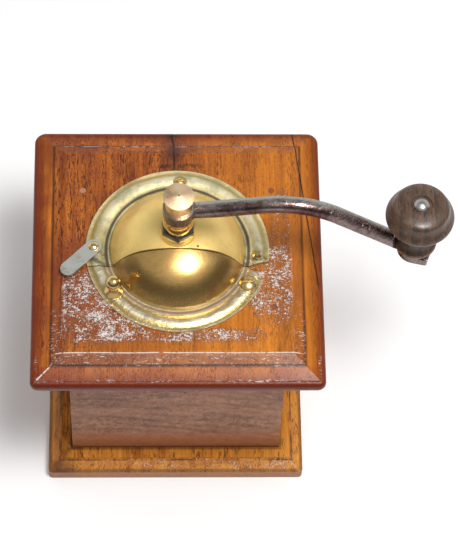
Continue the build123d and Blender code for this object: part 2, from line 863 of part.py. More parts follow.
with BuildPart() as handle_knob:
    rim_z = knob_low + knob_rim_height
    heel_low = (knob_foot_radius - knob_foot_edge, knob_low)
    bulge = (knob_foot_radius, knob_low + knob_heel_bulge_rise)
    heel_top = (knob_foot_radius - knob_heel_tuck, knob_low + knob_heel_height)
    recess_edge = (knob_recess_radius + knob_recess_edge, knob_top)
    with BuildSketch(upright(handle_x, handle_y)):
        with BuildLine():
            Polyline(recess_edge, (0, knob_top), (0, knob_low), heel_low)
            ThreePointArc(heel_low, bulge, heel_top)
            Spline(
                heel_top,
                (knob_waist_radius, knob_low + knob_waist_height),
                *[(share * knob_rim_radius, rim_z - drop) for share, drop in knob_under],
                (knob_rim_radius, rim_z),
                (knob_rim_radius * knob_crown_share, knob_top - knob_crown_drop),
                recess_edge,
                tangents=[(-0.6, 0.8), (-1.0, 0.12)],
            )
        make_face()
    revolve(axis=Axis((handle_x, handle_y, 0), (0, 0, 1)))
    bore(pin_radius + running_gap, knob_low, knob_top, [handle_xy])
    bore(knob_recess_radius, recess_z, knob_top + hole_spare, [handle_xy])
handle_knob.part.label = "handle_knob"
export_step(handle_knob.part, "parts/handle_knob.step")

# Funnel hung under the top board, with a collar that holds the outer burr
funnel_mouth_radius = hopper_radius - funnel_lip
with BuildPart() as mill_funnel:
    turn_outline(
        [
            (funnel_mouth_radius, case_top),
            (funnel_flange_radius, case_top),
            (funnel_flange_radius, case_top - funnel_flange_height),
            (funnel_mouth_radius + funnel_wall, case_top - funnel_flange_height),
            (collar_outer_radius, throat_z),
            (collar_outer_radius, funnel_low),
            (burr_radius + fit_gap, funnel_low),
            (burr_radius + fit_gap, burr_top),
            (funnel_throat_radius, burr_top),
            (funnel_throat_radius, throat_z),
        ]
    )
    bore(mill_screw_radius + fit_gap, case_top - funnel_flange_height, case_top, mill_screw_places)
    bridge_screw_bottom = funnel_low + bridge_screw_grip + hole_spare
    bore(bridge_screw_radius + fit_gap, funnel_low, bridge_screw_bottom, bridge_screw_places)
mill_funnel.part.label = "mill_funnel"
export_step(mill_funnel.part, "parts/mill_funnel.step")

with BuildPart() as mill_screws:
    screw_seat = case_top - funnel_flange_height
    rod(mill_screw_radius, screw_seat, screw_seat + mill_screw_length, mill_screw_places)
    rod(mill_screw_head_radius, screw_seat - mill_screw_head_height, screw_seat, mill_screw_places)
    for x, y in mill_screw_places:
        slotted(x, y, screw_seat - mill_screw_head_height, mill_screw_head_radius)
mill_screws.part.label = "mill_screws"
export_step(mill_screws.part, "parts/mill_screws.step")

# Burrs: the inner cone widens downwards inside the outer ring
inner_low = burr_low - inner_burr_extra
burr_span = burr_height + inner_burr_extra
burr_slope = (inner_burr_low_radius - inner_burr_high_radius) / burr_span
burr_lean = degrees(atan2(inner_burr_low_radius - inner_burr_high_radius, burr_span))
with BuildPart() as outer_burr:
    bore_low = inner_burr_low_radius + burr_gap - burr_slope * inner_burr_extra
    bore_high = inner_burr_high_radius + burr_gap + burr_slope * burr_mouth_drop
    turn_outline(
        [
            (bore_low, burr_low),
            (burr_radius, burr_low),
            (burr_radius, burr_top),
            (funnel_throat_radius - burr_lip, burr_top),
            (bore_high, burr_top - burr_mouth_drop),
        ]
    )
    with PolarLocations(0, burr_teeth, start_angle=180 / burr_teeth):
        groove_middle = ((bore_low + bore_high) / 2, 0, (burr_low + burr_top) / 2)
        with Locations(Location(groove_middle, (0, -burr_lean, 0))):
            Box(2 * burr_tooth_depth, burr_tooth_width, 2 * burr_height, mode=Mode.SUBTRACT)
outer_burr.part.label = "outer_burr"
export_step(outer_burr.part, "parts/outer_burr.step")

with BuildPart() as inner_burr:
    turn_outline(
        [
            (0, inner_low),
            (inner_burr_low_radius, inner_low),
            (inner_burr_high_radius, burr_top),
            (0, burr_top),
        ]
    )
    rod(inner_burr_high_radius, burr_top, burr_top + 2 * burr_pin_radius, [(0, 0)])
    mean_radius = (inner_burr_low_radius + inner_burr_high_radius) / 2
    with PolarLocations(0, burr_teeth):
        with Locations(Location((mean_radius, 0, (inner_low + burr_top) / 2), (0, -burr_lean, 0))):
            Box(2 * burr_tooth_depth, burr_tooth_width, 2 * burr_height, mode=Mode.SUBTRACT)
    bore(spindle_radius + fit_gap, inner_low, burr_top + 2 * burr_pin_radius, [(0, 0)])
    with Locations((0, 0, burr_top)):
        cross_bore = 4 * inner_burr_high_radius
        Cylinder(burr_pin_radius + fit_gap, cross_bore, rotation=(90, 0, 0), mode=Mode.SUBTRACT)
inner_burr.part.label = "inner_burr"
export_step(inner_burr.part, "parts/inner_burr.step")

with BuildPart() as burr_pin:
    with Locations((0, 0, burr_top)):
        Cylinder(burr_pin_radius, 2 * (inner_burr_high_radius - burr_pin_relief), rotation=(90, 0, 0))
burr_pin.part.label = "burr_pin"
export_step(burr_pin.part, "parts/burr_pin.step")

# Bridge under the collar: two legs and a bar that carries the adjusting screw
bridge_half = collar_outer_radius
with BuildPart() as lower_bridge:
    block((-bridge_half, -bridge_width / 2, bridge_low), (bridge_half, bridge_width / 2, funnel_low))
    block(
        (-bridge_half + bridge_leg, -bridge_width, bridge_top),
        (bridge_half - bridge_leg, bridge_width, funnel_low + bridge_thickness),
        mode=Mode.SUBTRACT,
    )
    bore(adjuster_radius + running_gap, bridge_low, bridge_top, [(0, 0)])
    bore(bridge_screw_radius + fit_gap, bridge_low, funnel_low, bridge_screw_places)
    bore(detent_screw_radius + fit_gap, bridge_low, bridge_top, [(-detent_x, 0)])
lower_bridge.part.label = "lower_bridge"
export_step(lower_bridge.part, "parts/lower_bridge.step")

with BuildPart() as bridge_screws:
    rod(bridge_screw_radius, bridge_low, funnel_low + bridge_screw_grip, bridge_screw_places)
    rod(bridge_screw_head_radius, bridge_low - bridge_screw_head_height, bridge_low, bridge_screw_places)
    for x, y in bridge_screw_places:
        slotted(x, y, bridge_low - bridge_screw_head_height, bridge_screw_head_radius)
bridge_screws.part.label = "bridge_screws"
export_step(bridge_screws.part, "parts/bridge_screws.step")

with BuildPart() as adjusting_screw:
    rod(adjuster_wheel_radius, wheel_top - adjuster_wheel_height, wheel_top, [(0, 0)])
    chamfer(edges().filter_by(GeomType.CIRCLE), adjuster_wheel_chamfer)
    with PolarLocations(adjuster_wheel_radius, adjuster_flutes):
        Cylinder(adjuster_flute_radius, 4 * adjuster_wheel_height + 4 * wheel_top, mode=Mode.SUBTRACT)
    rod(adjuster_radius, wheel_top, step_low, [(0, 0)])
adjusting_screw.part.label = "adjusting_screw"
export_step(adjusting_screw.part, "parts/adjusting_screw.step")

with BuildPart() as step_bearing:
    rod(step_radius, step_low, step_top, [(0, 0)])
    chamfer(edges().filter_by(GeomType.CIRCLE).sort_by(Axis.Z)[-1], step_chamfer)
step_bearing.part.label = "step_bearing"
export_step(step_bearing.part, "parts/step_bearing.step")

# Detent leaf: a tab under the bar, and a blade that hangs beside the knurled wheel
blade_x = adjuster_wheel_radius + detent_gap
detent_tab_end = detent_x + detent_screw_head_radius + detent_tab_margin
with BuildPart() as detent_spring:
    block(
        (-detent_tab_end, -detent_width / 2, bridge_low - detent_sheet),
        (-blade_x, detent_width / 2, bridge_low),
    )
    block(
        (-blade_x - detent_sheet, -detent_width / 2, wheel_top - adjuster_wheel_height),
        (-blade_x, detent_width / 2, bridge_low),
    )
    bore(detent_screw_radius + fit_gap, bridge_low - detent_sheet, bridge_low, [(-detent_x, 0)])
detent_spring.part.label = "detent_spring"
export_step(detent_spring.part, "parts/detent_spring.step")

with BuildPart() as detent_screw:
    tab_low = bridge_low - detent_sheet
    rod(detent_screw_radius, tab_low, bridge_top, [(-detent_x, 0)])
    rod(detent_screw_head_radius, tab_low - detent_screw_head_height, tab_low, [(-detent_x, 0)])
detent_screw.part.label = "detent_screw"
export_step(detent_screw.part, "parts/detent_screw.step")

# Spring between the bush and the washer on the spindle's shoulder
with BuildPart() as spring_washer:
    rod(spring_washer_radius, washer_low, spring_low, [(0, 0)])
    bore(spindle_radius + fit_gap, washer_low, spring_low, [(0, 0)])
spring_washer.part.label = "spring_washer"
export_step(spring_washer.part, "parts/spring_washer.step")

coil_height = bush_low - spring_low - 2 * spring_wire_radius
with BuildPart() as spindle_spring:
    with BuildLine() as coil:
        Helix(spring_pitch, coil_height, spring_mean_radius, center=(0, 0, spring_low + spring_wire_radius))
    with BuildSketch(Plane(origin=coil.line @ 0, z_dir=coil.line % 0)):
        Circle(spring_wire_radius)
    sweep(is_frenet=True)
spindle_spring.part.label = "spindle_spring"
export_step(spindle_spring.part, "parts/spindle_spring.step")

# Drawer, shut: its front is flush with the back panel of the case
drawer_half = drawer_width / 2
drawer_low = base_thickness + drawer_gap
drawer_top = drawer_low + drawer_height
side_top = drawer_top - drawer_side_drop
front_inner = case_half - case_wall
box_end = -inner_half + drawer_stop_gap
floor_top = drawer_low + drawer_bottom_wall
side_inner = drawer_half - drawer_side_wall
knob_z = (drawer_low + drawer_top) / 2
nail_heights = [drawer_low + drawer_nail_rise, side_top - drawer_nail_drop]
with BuildPart() as drawer_front:
    block((-drawer_half, front_inner, drawer_low), (drawer_half, case_half, drawer_top))
    with Locations(Plane(origin=(0, front_inner, knob_z), z_dir=(0, 1, 0)).location):
        Cylinder(drawer_screw_radius + fit_gap, 4 * case_wall, mode=Mode.SUBTRACT)
drawer_front.part.label = "drawer_front"
export_step(drawer_front.part, "parts/drawer_front.step")


def drawer_side(sign):
    """One side board of the drawer, with its nail holes at the inner end."""
    low_x, high_x = sorted((sign * drawer_half, sign * side_inner))
    with BuildPart() as side:
        block((low_x, box_end, drawer_low), (high_x, front_inner, side_top))
        for z in nail_heights:
            with Locations(Location((sign * drawer_half, box_end + drawer_side_wall / 2, z), (0, 90, 0))):
                Cylinder(drawer_nail_radius + fit_gap, 2 * drawer_nail_length, mode=Mode.SUBTRACT)
    return side.part


drawer_left = drawer_side(-1)
drawer_left.label = "drawer_left"
export_step(drawer_left, "parts/drawer_left.step")

drawer_right = drawer_side(1)
drawer_right.label = "drawer_right"
export_step(drawer_right, "parts/drawer_right.step")

with BuildPart() as drawer_back:
    block((-side_inner, box_end, floor_top), (side_inner, box_end + drawer_side_wall, side_top))
    for sign in (-1, 1):
        for z in nail_heights:
            with Locations(Location((sign * drawer_half, box_end + drawer_side_wall / 2, z), (0, 90, 0))):
                Cylinder(drawer_nail_radius + fit_gap, 2 * drawer_nail_length, mode=Mode.SUBTRACT)
drawer_back.part.label = "drawer_back"
export_step(drawer_back.part, "parts/drawer_back.step")

with BuildPart() as drawer_bottom:
    block((-side_inner, box_end, drawer_low), (side_inner, front_inner, floor_top))
drawer_bottom.part.label = "drawer_bottom"
export_step(drawer_bottom.part, "parts/drawer_bottom.step")

with BuildPart() as drawer_nails:
    for sign in (-1, 1):
        for z in nail_heights:
            middle_x = sign * (drawer_half - drawer_nail_length / 2)
            with Locations(Location((middle_x, box_end + drawer_side_wall / 2, z), (0, 90, 0))):
                Cylinder(drawer_nail_radius, drawer_nail_length)
drawer_nails.part.label = "drawer_nails"
export_step(drawer_nails.part, "parts/drawer_nails.step")

ball_reach = drawer_knob_reach - drawer_knob_radius
pull_plane = Plane(origin=(0, case_half, knob_z), x_dir=(1, 0, 0), z_dir=(0, 0, 1))
with BuildPart() as drawer_knob:
    with BuildSketch(pull_plane):
        with BuildLine():
            Polyline(
                (0, ball_reach),
                (0, 0),
                (drawer_knob_foot_radius, 0),
                (drawer_knob_foot_radius, drawer_knob_foot_height),
                (drawer_knob_neck_radius, drawer_knob_neck_rise),
                (drawer_knob_neck_radius, ball_reach),
                close=True,
            )
        make_face()
    revolve(axis=Axis((0, 0, knob_z), (0, 1, 0)))
    with Locations((0, case_half + ball_reach, knob_z)):
        Sphere(drawer_knob_radius)
    with Locations(Plane(origin=(0, case_half, knob_z), z_dir=(0, 1, 0)).location):
        Cylinder(drawer_screw_radius + fit_gap, 2 * ball_reach, mode=Mode.SUBTRACT)
drawer_knob.part.label = "drawer_knob"
export_step(drawer_knob.part, "parts/drawer_knob.step")

screw_reach = ball_reach - hole_spare
outwards = (Align.CENTER, Align.CENTER, Align.MIN)
inwards = (Align.CENTER, Align.CENTER, Align.MAX)
with BuildPart() as drawer_knob_screw:
    with Locations(Plane(origin=(0, front_inner, knob_z), z_dir=(0, 1, 0)).location):
        Cylinder(drawer_screw_radius, case_wall + screw_reach, align=outwards)
        Cylinder(drawer_screw_head_radius, drawer_screw_head_height, align=inwards)
drawer_knob_screw.part.label = "drawer_knob_screw"
export_step(drawer_knob_screw.part, "parts/drawer_knob_screw.step")

# Guides: a strip each side of the drawer, on the base board
guide_inner = drawer_half + drawer_gap
guide_top = base_thickness + guide_height
with BuildPart() as drawer_guide_left:
    block((-inner_half, -inner_half, base_thickness), (-guide_inner, inner_half, guide_top))
drawer_guide_left.part.label = "drawer_guide_left"
export_step(drawer_guide_left.part, "parts/drawer_guide_left.step")

with BuildPart() as drawer_guide_right:
    block((guide_inner, -inner_half, base_thickness), (inner_half, inner_half, guide_top))
drawer_guide_right.part.label = "drawer_guide_right"
export_step(drawer_guide_right.part, "parts/drawer_guide_right.step")
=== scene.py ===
from math import cos, pi, sin

import bpy
from mathutils import Matrix, Vector


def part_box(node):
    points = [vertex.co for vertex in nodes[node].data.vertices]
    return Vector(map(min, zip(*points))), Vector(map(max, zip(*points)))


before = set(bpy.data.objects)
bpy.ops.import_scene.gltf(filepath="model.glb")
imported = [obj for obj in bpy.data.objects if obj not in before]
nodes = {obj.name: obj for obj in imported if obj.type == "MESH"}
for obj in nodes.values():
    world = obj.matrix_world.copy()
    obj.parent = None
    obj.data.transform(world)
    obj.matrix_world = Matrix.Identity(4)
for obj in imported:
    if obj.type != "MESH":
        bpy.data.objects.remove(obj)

print("frame loaded")
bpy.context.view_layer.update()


class Wire:
    # One output of a material's node, so that shader maths reads as plain expressions.
    def __init__(self, tree, socket=None):
        self.tree = tree
        self.socket = socket

    def node(self, kind, settings=None, inputs=None, output=0):
        made = self.tree.nodes.new("ShaderNode" + kind)
        for name, value in (settings or {}).items():
            if name == "stops":
                stops = made.color_ramp.elements
                while len(stops) < len(value):
                    stops.new(0.5)
                for stop, (place, shade) in zip(stops, value):
                    stop.position = place
                    stop.color = (*shade, 1.0)
            else:
                setattr(made, name, value)
        for name, value in (inputs or {}).items():
            if isinstance(value, Wire):
                self.tree.links.new(value.socket, made.inputs[name])
            else:
                made.inputs[name].default_value = value
        return Wire(self.tree, made.outputs[output])

    def maths(self, operation, *values):
        return self.node("Math", {"operation": operation}, dict(enumerate(values)))

    def __add__(self, other):
        return self.maths("ADD", self, other)

    __radd__ = __add__

    def __sub__(self, other):
        return self.maths("SUBTRACT", self, other)

    def __rsub__(self, other):
        return self.maths("SUBTRACT", other, self)

    def __mul__(self, other):
        return self.maths("MULTIPLY", self, other)

    __rmul__ = __mul__

    def __abs__(self):
        return self.maths("ABSOLUTE", self)

    def larger(self, other):
        return self.maths("MAXIMUM", self, other)

    def smaller(self, other):
        return self.maths("MINIMUM", self, other)

    def root(self):
        return self.maths("SQRT", self)

    def sine(self):
        return self.maths("SINE", self)

    def rise(self, low, high):
        # 0 below low and 1 above high, smooth between; low above high turns it round
        if low > high:
            return 1 - self.rise(high, low)
        return self.node(
            "MapRange",
            {"interpolation_type": "SMOOTHSTEP"},
            {"Value": self, "From Min": low, "From Max": high},
        )

    def band(self, middle, width, soft):
        # 1 within width of a value, fading out over soft
        return abs(self - middle).rise(width / 2 + soft, width / 2)

    def tint(self, amount, shade):
        # this colour, mixed towards another by an amount
        return self.node("Mix", {"data_type": "RGBA"}, {0: amount, 6: self, 7: (*shade, 1.0)}, 2)

    def ramp(self, *stops):
        return self.node("ValToRGB", {"stops": stops}, {"Fac": self})


class Finish:
    # A material under way: its place on the piece, its patterns, and its closing shader.
    def __init__(self, name):
        self.material = bpy.data.materials.new(name)
        self.material.use_nodes = True
        self.tree = self.material.node_tree
        self.tree.nodes.clear()
        self.start = Wire(self.tree)
        self.place = self.start.node("TexCoord", output="Object")
        parts = [self.start.node("SeparateXYZ", None, {0: self.place}, axis) for axis in range(3)]
        self.x, self.y, self.z = parts

    def spread(self, scale, shift=(0, 0, 0), turn=(0, 0, 0)):
        values = {"Vector": self.place, "Location": shift, "Rotation": turn, "Scale": scale}
        return self.start.node("Mapping", {"vector_type": "POINT"}, values)

    def cloud(self, scale, detail=3.0, rough=0.55, shift=(0, 0, 0), turn=(0, 0, 0), warp=0.0):
        values = {"Vector": self.spread(scale, shift, turn), "Scale": 1.0, "Detail": detail}
        values.update({"Roughness": rough, "Distortion": warp})
        return self.start.node("TexNoise", None, values)

    def radius(self, x=0.0, y=0.0):
        across = self.x - x
        along = self.y - y
        return (across * across + along * along).root()

    def oval(self, patch):
        # 1 inside an oval on the piece's plan, fading out towards its edge
        across = (self.x - patch["x"]) * patch["tightX"]
        along = (self.y - patch["y"]) * patch["tightY"]
        return (across * across + along * along).rise(1.0, patch["solid"])

    def close(self, look, **linked):
        shader = self.tree.nodes.new("ShaderNodeBsdfPrincipled")
        for name, value in look.items():
            shader.inputs[name].default_value = value
        for name, value in linked.items():
            socket = shader.inputs[name.replace("_", " ")]
            if isinstance(value, Wire):
                self.tree.links.new(value.socket, socket)
            else:
                socket.default_value = value
        ending = self.tree.nodes.new("ShaderNodeOutputMaterial")
        self.tree.links.new(shader.outputs[0], ending.inputs[0])
        return self.material

    def bump(self, height, depth):
        values = {"Height": height, "Strength": 1.0, "Distance": depth}
        return self.start.node("Bump", None, values)


def dress(material, *names):
    for name in names:
        mesh = nodes[name].data
        mesh.materials.clear()
        mesh.materials.append(material)


poreWidth = 0.0005      # across the grain
poreSoft = 0.07


def board(name, look):
    # Wood: rings round a far axis, pore streaks along the grain, and clouds of tone.
    wood = Finish(name)
    turns = {"x": (0, 0, pi / 2), "y": (0, 0, 0), "z": (pi / 2, 0, 0)}
    turn = turns[look["grain"]]
    along = look.get("along", 0.045)
    stretch = (1.0, along, 1.0)
    seed = look["seed"]

    def fibre(size, detail, lift=0.0):
        scale = tuple(part / size for part in stretch)
        return wood.cloud(scale, detail, 0.6, (seed, seed * 0.37 + lift, seed * 0.71), turn)

    rings = wood.start.node(
        "TexWave",
        {"wave_type": "RINGS", "rings_direction": "Y", "wave_profile": "SAW"},
        {
            "Vector": wood.spread((1.0, 0.12, 1.0), look["heart"], turn),
            "Scale": look["rings"],
            "Distortion": look["wander"],
            "Detail": 3.0,
            "Detail Scale": 1.4,
            "Detail Roughness": 0.6,
        },
    )
    tone = wood.cloud((26, 14, 26), 3.0, 0.55, (seed, 0, 0))
    streaks = fibre(0.0028, 5.0)
    fine = fibre(0.0006, 2.0, 3.1)
    mixed = rings * look["figure"] + streaks * 0.50 + tone * 0.30 + fine * 0.25 - 0.05
    shade = mixed.ramp(*look["tones"])
    dash = (1 / poreWidth, look.get("dash", 0.14) / poreWidth, 1 / poreWidth)
    pores = wood.cloud(dash, 1.0, 0.5, (seed, 7.7, seed * 0.5), turn)
    pores = pores.rise(look["poreFrom"], look["poreFrom"] + poreSoft)
    pores = pores * fibre(0.004, 2.0, 1.9).rise(0.36, 0.58)
    shade = shade.tint(pores * look["poreDepth"], look["pore"])
    wood.shade = shade
    wood.streaks = streaks
    wood.fine = fine
    wood.pores = pores
    wood.tone = tone
    return wood


topLook = {
    "grain": "y",
    "seed": 2.7,
    "heart": (0.012, 0.0, 0.085),
    "rings": 70.0,
    "wander": 1.2,
    "figure": 0.10,
    "tones": (
        (0.28, (0.070, 0.012, 0.003)),
        (0.42, (0.220, 0.046, 0.006)),
        (0.54, (0.400, 0.105, 0.010)),
        (0.70, (0.620, 0.200, 0.018)),
    ),
    "pore": (0.035, 0.010, 0.004),
    "poreFrom": 0.55,
    "poreDepth": 0.90,
    # the raised field: half its width at the foot of the sloping shoulder, and at its top
    "fieldHalf": 0.0600,
    "topHalf": 0.0546,
    "rimFrom": 0.0672,
    "redShade": (0.170, 0.034, 0.012),
    "orangeShade": (0.680, 0.240, 0.022),
    "stainShade": (0.260, 0.038, 0.005),
    "crazedShade": (0.060, 0.018, 0.012),
    "rimAndPaintedEdgeShade": (0.120, 0.010, 0.001),
    "shoulderShade": (0.110, 0.016, 0.005),
    "dirtAndShadowShade": (0.055, 0.014, 0.006),
    "soakedShade": (0.150, 0.040, 0.020),
    "residueShade": (0.76, 0.73, 0.70),
    "crackShade": (0.012, 0.009, 0.007),
    "bumpDepth": 0.00022,
}
residuePatches = {
    "frontLeft": {"x": -0.042, "y": -0.030, "tightX": 29.0, "tightY": 44.0, "solid": 0.30, "share": 1.00},
    "frontRight": {"x": 0.046, "y": -0.016, "tightX": 62.0, "tightY": 36.0, "solid": 0.30, "share": 0.85},
    "right": {"x": 0.050, "y": 0.016, "tightX": 170.0, "tightY": 42.0, "solid": 0.20, "share": 0.60},
}
residueStrip = {"y": -0.0455, "tightY": 230.0, "solid": 0.20, "share": 0.75}
crackLines = {
    "backX": -0.002,                # runs in from the back edge
    "backEnd": 0.036,
    "sideX": 0.0657,                # crosses the right margin at a slant
    "sideSlant": -0.127,
    "sideEnd": -0.022,
    "knotY": 0.0475,                # a dark knot across the back crack
}


def toneTop(wood):
    # The back left is redder, the front right more orange, and the front margin is stained red
    look = topLook
    x, y = wood.x, wood.y
    wood.lean = (x * 7.0 - y * 4.5 + 0.5).rise(0.1, 0.9)
    redder = wood.cloud((38, 38, 38), 4.0, 0.6, (5, 1, 2)).rise(0.36, 0.62) * (1 - wood.lean)
    shade = wood.shade.tint(redder * 0.65, look["redShade"])
    shade = shade.tint(wood.lean * 0.35, look["orangeShade"])
    stain = wood.cloud((45, 45, 45), 4.0, 0.62, (7, 7, 2)).rise(0.30, 0.66)
    margin = y.rise(0.001 - look["fieldHalf"], -0.002 - look["fieldHalf"])
    return shade.tint(margin * (0.25 + stain * 0.45), look["stainShade"])


def wearTop(wood, shade):
    # Coarse crazed varnish on the field, a dark rim with painted shade down the board's edges, a dark
    # shoulder, and painted shade with some dirt in the crease at its foot
    look = topLook
    foot, top = look["fieldHalf"], look["topHalf"]
    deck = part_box("top_board")[1].z
    wood.reach = abs(wood.x).larger(abs(wood.y))
    wood.inField = wood.reach.rise(top + 0.0012, top - 0.0006)
    wood.crazed = wood.cloud((1500, 900, 1500), 3.0, 0.7, (1, 4, 1)).rise(0.50, 0.66)
    worn = wood.inField * wood.crazed * (1 - wood.lean * 0.7)
    shade = shade.tint(worn * 0.65, look["crazedShade"])
    rim = wood.reach.rise(look["rimFrom"] + 0.0004, look["rimFrom"] + 0.0028)
    # painted shade: the board's edges below the top are darkened as if in shade
    paintedEdgeShade = wood.z.rise(deck - 0.0032, deck - 0.0056)
    shade = shade.tint((rim * 0.20 + paintedEdgeShade * 0.9).smaller(0.92), look["rimAndPaintedEdgeShade"])
    slope = wood.reach.band(foot - 0.0022, 0.0042, 0.0012)
    slope = slope * (wood.cloud((70, 70, 70), 3.0, 0.6, (8, 1, 1)) * 0.7 + 0.15)
    shade = shade.tint(slope * (wood.y.rise(0.02, -0.05) * 0.6 + 0.4), look["shoulderShade"])
    # painted shade with some dirt in the crease at the foot of the shoulder
    darkening = wood.cloud((90, 90, 90), 3.0) * 0.6 + 0.35
    darkening = wood.reach.band(foot + 0.0003, 0.0006, 0.0007) * darkening.smaller(0.85)
    return shade.tint(darkening, look["dirtAndShadowShade"])


def residueLines(wood):
    # Thin pale lines of old polish: front edge of the field, foot at the back, and one mitre
    foot, top = topLook["fieldHalf"], topLook["topHalf"]
    sway = (wood.cloud((60, 60, 60), 2.0) - 0.5) * 0.0008
    across = abs(wood.x).rise(foot - 0.001, foot - 0.003)
    front = (sway - wood.y).band(top, 0.0001, 0.00034) * across
    back = (wood.y + sway).band(foot, 0.00005, 0.00034) * across
    lines = front * wood.ragged.rise(0.32, 0.50) + back * wood.ragged.rise(0.42, 0.58) * 0.8
    mitre = abs(wood.x - wood.y).rise(0.0007, 0.0003) * wood.ragged.rise(0.38, 0.5)
    mitre = mitre * wood.x.rise(0.001 - foot, -0.0005 - foot) * wood.x.rise(-0.0685, -0.0670)
    return lines.smaller(1.0), mitre


def residueTop(wood, shade):
    # Flecks of dried polish in loose clumps over stained wood, and along the edges in front
    look = topLook
    foot, top = look["fieldHalf"], look["topHalf"]
    x, y = wood.x, wood.y
    patches = wood.oval(residuePatches["frontLeft"]) * residuePatches["frontLeft"]["share"]
    for place in ("frontRight", "right"):
        patches = patches.larger(wood.oval(residuePatches[place]) * residuePatches[place]["share"])
    off = (y - residueStrip["y"]) * residueStrip["tightY"]
    strip = (off * off).rise(1.0, residueStrip["solid"]) * x.rise(0.046, 0.030) * x.rise(-0.056, -0.050)
    patches = patches.larger(strip * residueStrip["share"])

    flecksA = wood.cloud((620, 1500, 900), 3.0, 0.72, (3, 3, 8), (0, 0, 0.25), 0.8)
    flecksB = wood.cloud((1700, 700, 900), 2.0, 0.70, (5, 9, 2), (0, 0, -0.3), 0.6)
    density = flecksA * 0.6 + flecksB * 0.4 + patches * 0.12 + wood.lumps * 0.46 - 0.29
    within = patches.rise(0.02, 0.25) * wood.inField
    shade = shade.tint(density.rise(0.42, 0.54) * within * 0.55, look["soakedShade"])
    whites = density.rise(0.555, 0.620) * within

    streak = wood.cloud((380, 1500, 900), 3.0, 0.75, (4, 2, 2), (0, 0, 0), 0.8) + wood.lumps * 0.45
    slope = wood.reach.rise(top, top + 0.001) * wood.reach.rise(foot + 0.001, foot - 0.0003)
    whites = whites.larger(slope * y.rise(-0.02, -0.05) * streak.rise(0.80, 0.88) * 0.8)
    rimTop = wood.reach.band(look["rimFrom"], 0.0006, 0.0007) * y.rise(-0.05, -0.06)
    whites = whites.larger(rimTop * streak.rise(0.79, 0.87) * 0.8)
    lines, mitre = residueLines(wood)
    wood.whites = whites.larger(lines).larger(mitre)
    return shade.tint(wood.whites * 0.85, look["residueShade"])


def cracksTop(wood, shade):
    # Drying cracks along the grain, the back one in a black smudge
    places = crackLines
    x, y = wood.x, wood.y
    bend = (wood.cloud((30, 30, 30), 3.0, 0.6, (6, 6, 1)) - 0.5) * 0.006
    off = abs(x - places["backX"] + bend)
    back = off.rise(0.0007, 0.0001) * y.rise(places["backEnd"], places["backEnd"] + 0.014)
    smudge = off.rise(0.0075, 0.0008) * y.rise(0.040, 0.052) * wood.lumps.rise(0.30, 0.56)
    knot = y.band(places["knotY"], 0.0010, 0.0016) * abs(x).rise(0.020, 0.006)
    smudge = smudge.larger(knot * wood.ragged.rise(0.36, 0.58))
    side = abs(x - places["sideX"] - y * places["sideSlant"] + bend * 0.22).rise(0.00036, 0.00008)
    side = side * y.rise(places["sideEnd"], places["sideEnd"] + 0.008) * wood.ragged.rise(0.22, 0.32)
    wood.cracks = back.larger(side)
    return shade.tint((smudge * 0.65).larger(wood.cracks * 0.95), topLook["crackShade"])


def topBoardWood():
    wood = board("topWood", topLook)
    wood.ragged = wood.cloud((420, 420, 420), 4.0, 0.6, (2, 7, 5))
    wood.lumps = wood.cloud((120, 120, 120), 4.0, 0.65, (9, 2, 3))
    shade = wearTop(wood, toneTop(wood))
    shade = cracksTop(wood, residueTop(wood, shade))
    gloss = wood.tone * 0.22 + wood.streaks * 0.12 + 0.20
    gloss = gloss.larger(wood.inField * 0.50 * (1.2 - wood.lean)).larger(wood.whites * 0.75)
    height = wood.streaks * 0.20 + wood.fine * 0.18 - wood.pores * 0.5
    height = height - wood.cracks * 2.5 + wood.whites * 0.35 - wood.inField * wood.crazed * 0.35
    return wood.close(
        {"Coat Weight": 0.10, "Coat Roughness": 0.12, "IOR": 1.45, "Specular IOR Level": 0.25},
        Base_Color=shade,
        Roughness=gloss,
        Normal=wood.bump(height, topLook["bumpDepth"]),
    )


fillerLook = {
    "tones": ((0.35, (0.130, 0.030, 0.008)), (0.65, (0.300, 0.080, 0.016))),
    "paleShade": (0.480, 0.230, 0.150),
    "gloss": 0.45,
    "bumpDepth": 0.0002,
}


def fillerWood():
    # the nail heads are stopped with wax the colour of the board; the back left one is paler
    filler = Finish("fillerWood")
    mottled = filler.cloud((500, 500, 500), 3.0, 0.6, (1, 1, 4))
    pale = filler.x.rise(-0.02, -0.03) * filler.y.rise(0.01, 0.02)
    shade = mottled.ramp(*fillerLook["tones"]).tint(pale * 0.6, fillerLook["paleShade"])
    relief = filler.bump(mottled, fillerLook["bumpDepth"])
    return filler.close({}, Base_Color=shade, Roughness=fillerLook["gloss"], Normal=relief)


baseLook = {
    "grain": "y",
    "seed": 5.3,
    "heart": (-0.02, 0.0, 0.07),
    "rings": 60.0,
    "wander": 1.2,
    "figure": 0.08,
    "tones": (
        (0.28, (0.150, 0.040, 0.006)),
        (0.42, (0.400, 0.130, 0.018)),
        (0.56, (0.600, 0.230, 0.032)),
        (0.72, (0.760, 0.340, 0.060)),
    ),
    "pore": (0.060, 0.022, 0.008),
    "poreFrom": 0.57,
    "poreDepth": 0.7,
    # heights of the upright edge and of the slope above it, and half the width of the flat ledge
    "edgeTop": 0.0066,
    "bevelTop": 0.0100,
    "ledgeHalf": 0.0588,
    "stainShade": (0.070, 0.028, 0.012),
    "dirtAndShadowShade": (0.030, 0.010, 0.004),
    "ledgeShade": (0.040, 0.014, 0.006),
    "bareShade": (0.400, 0.225, 0.150),
    "edgeShade": (0.080, 0.026, 0.008),
    "residueShade": (0.72, 0.70, 0.68),
    "bumpDepth": 0.00020,
}


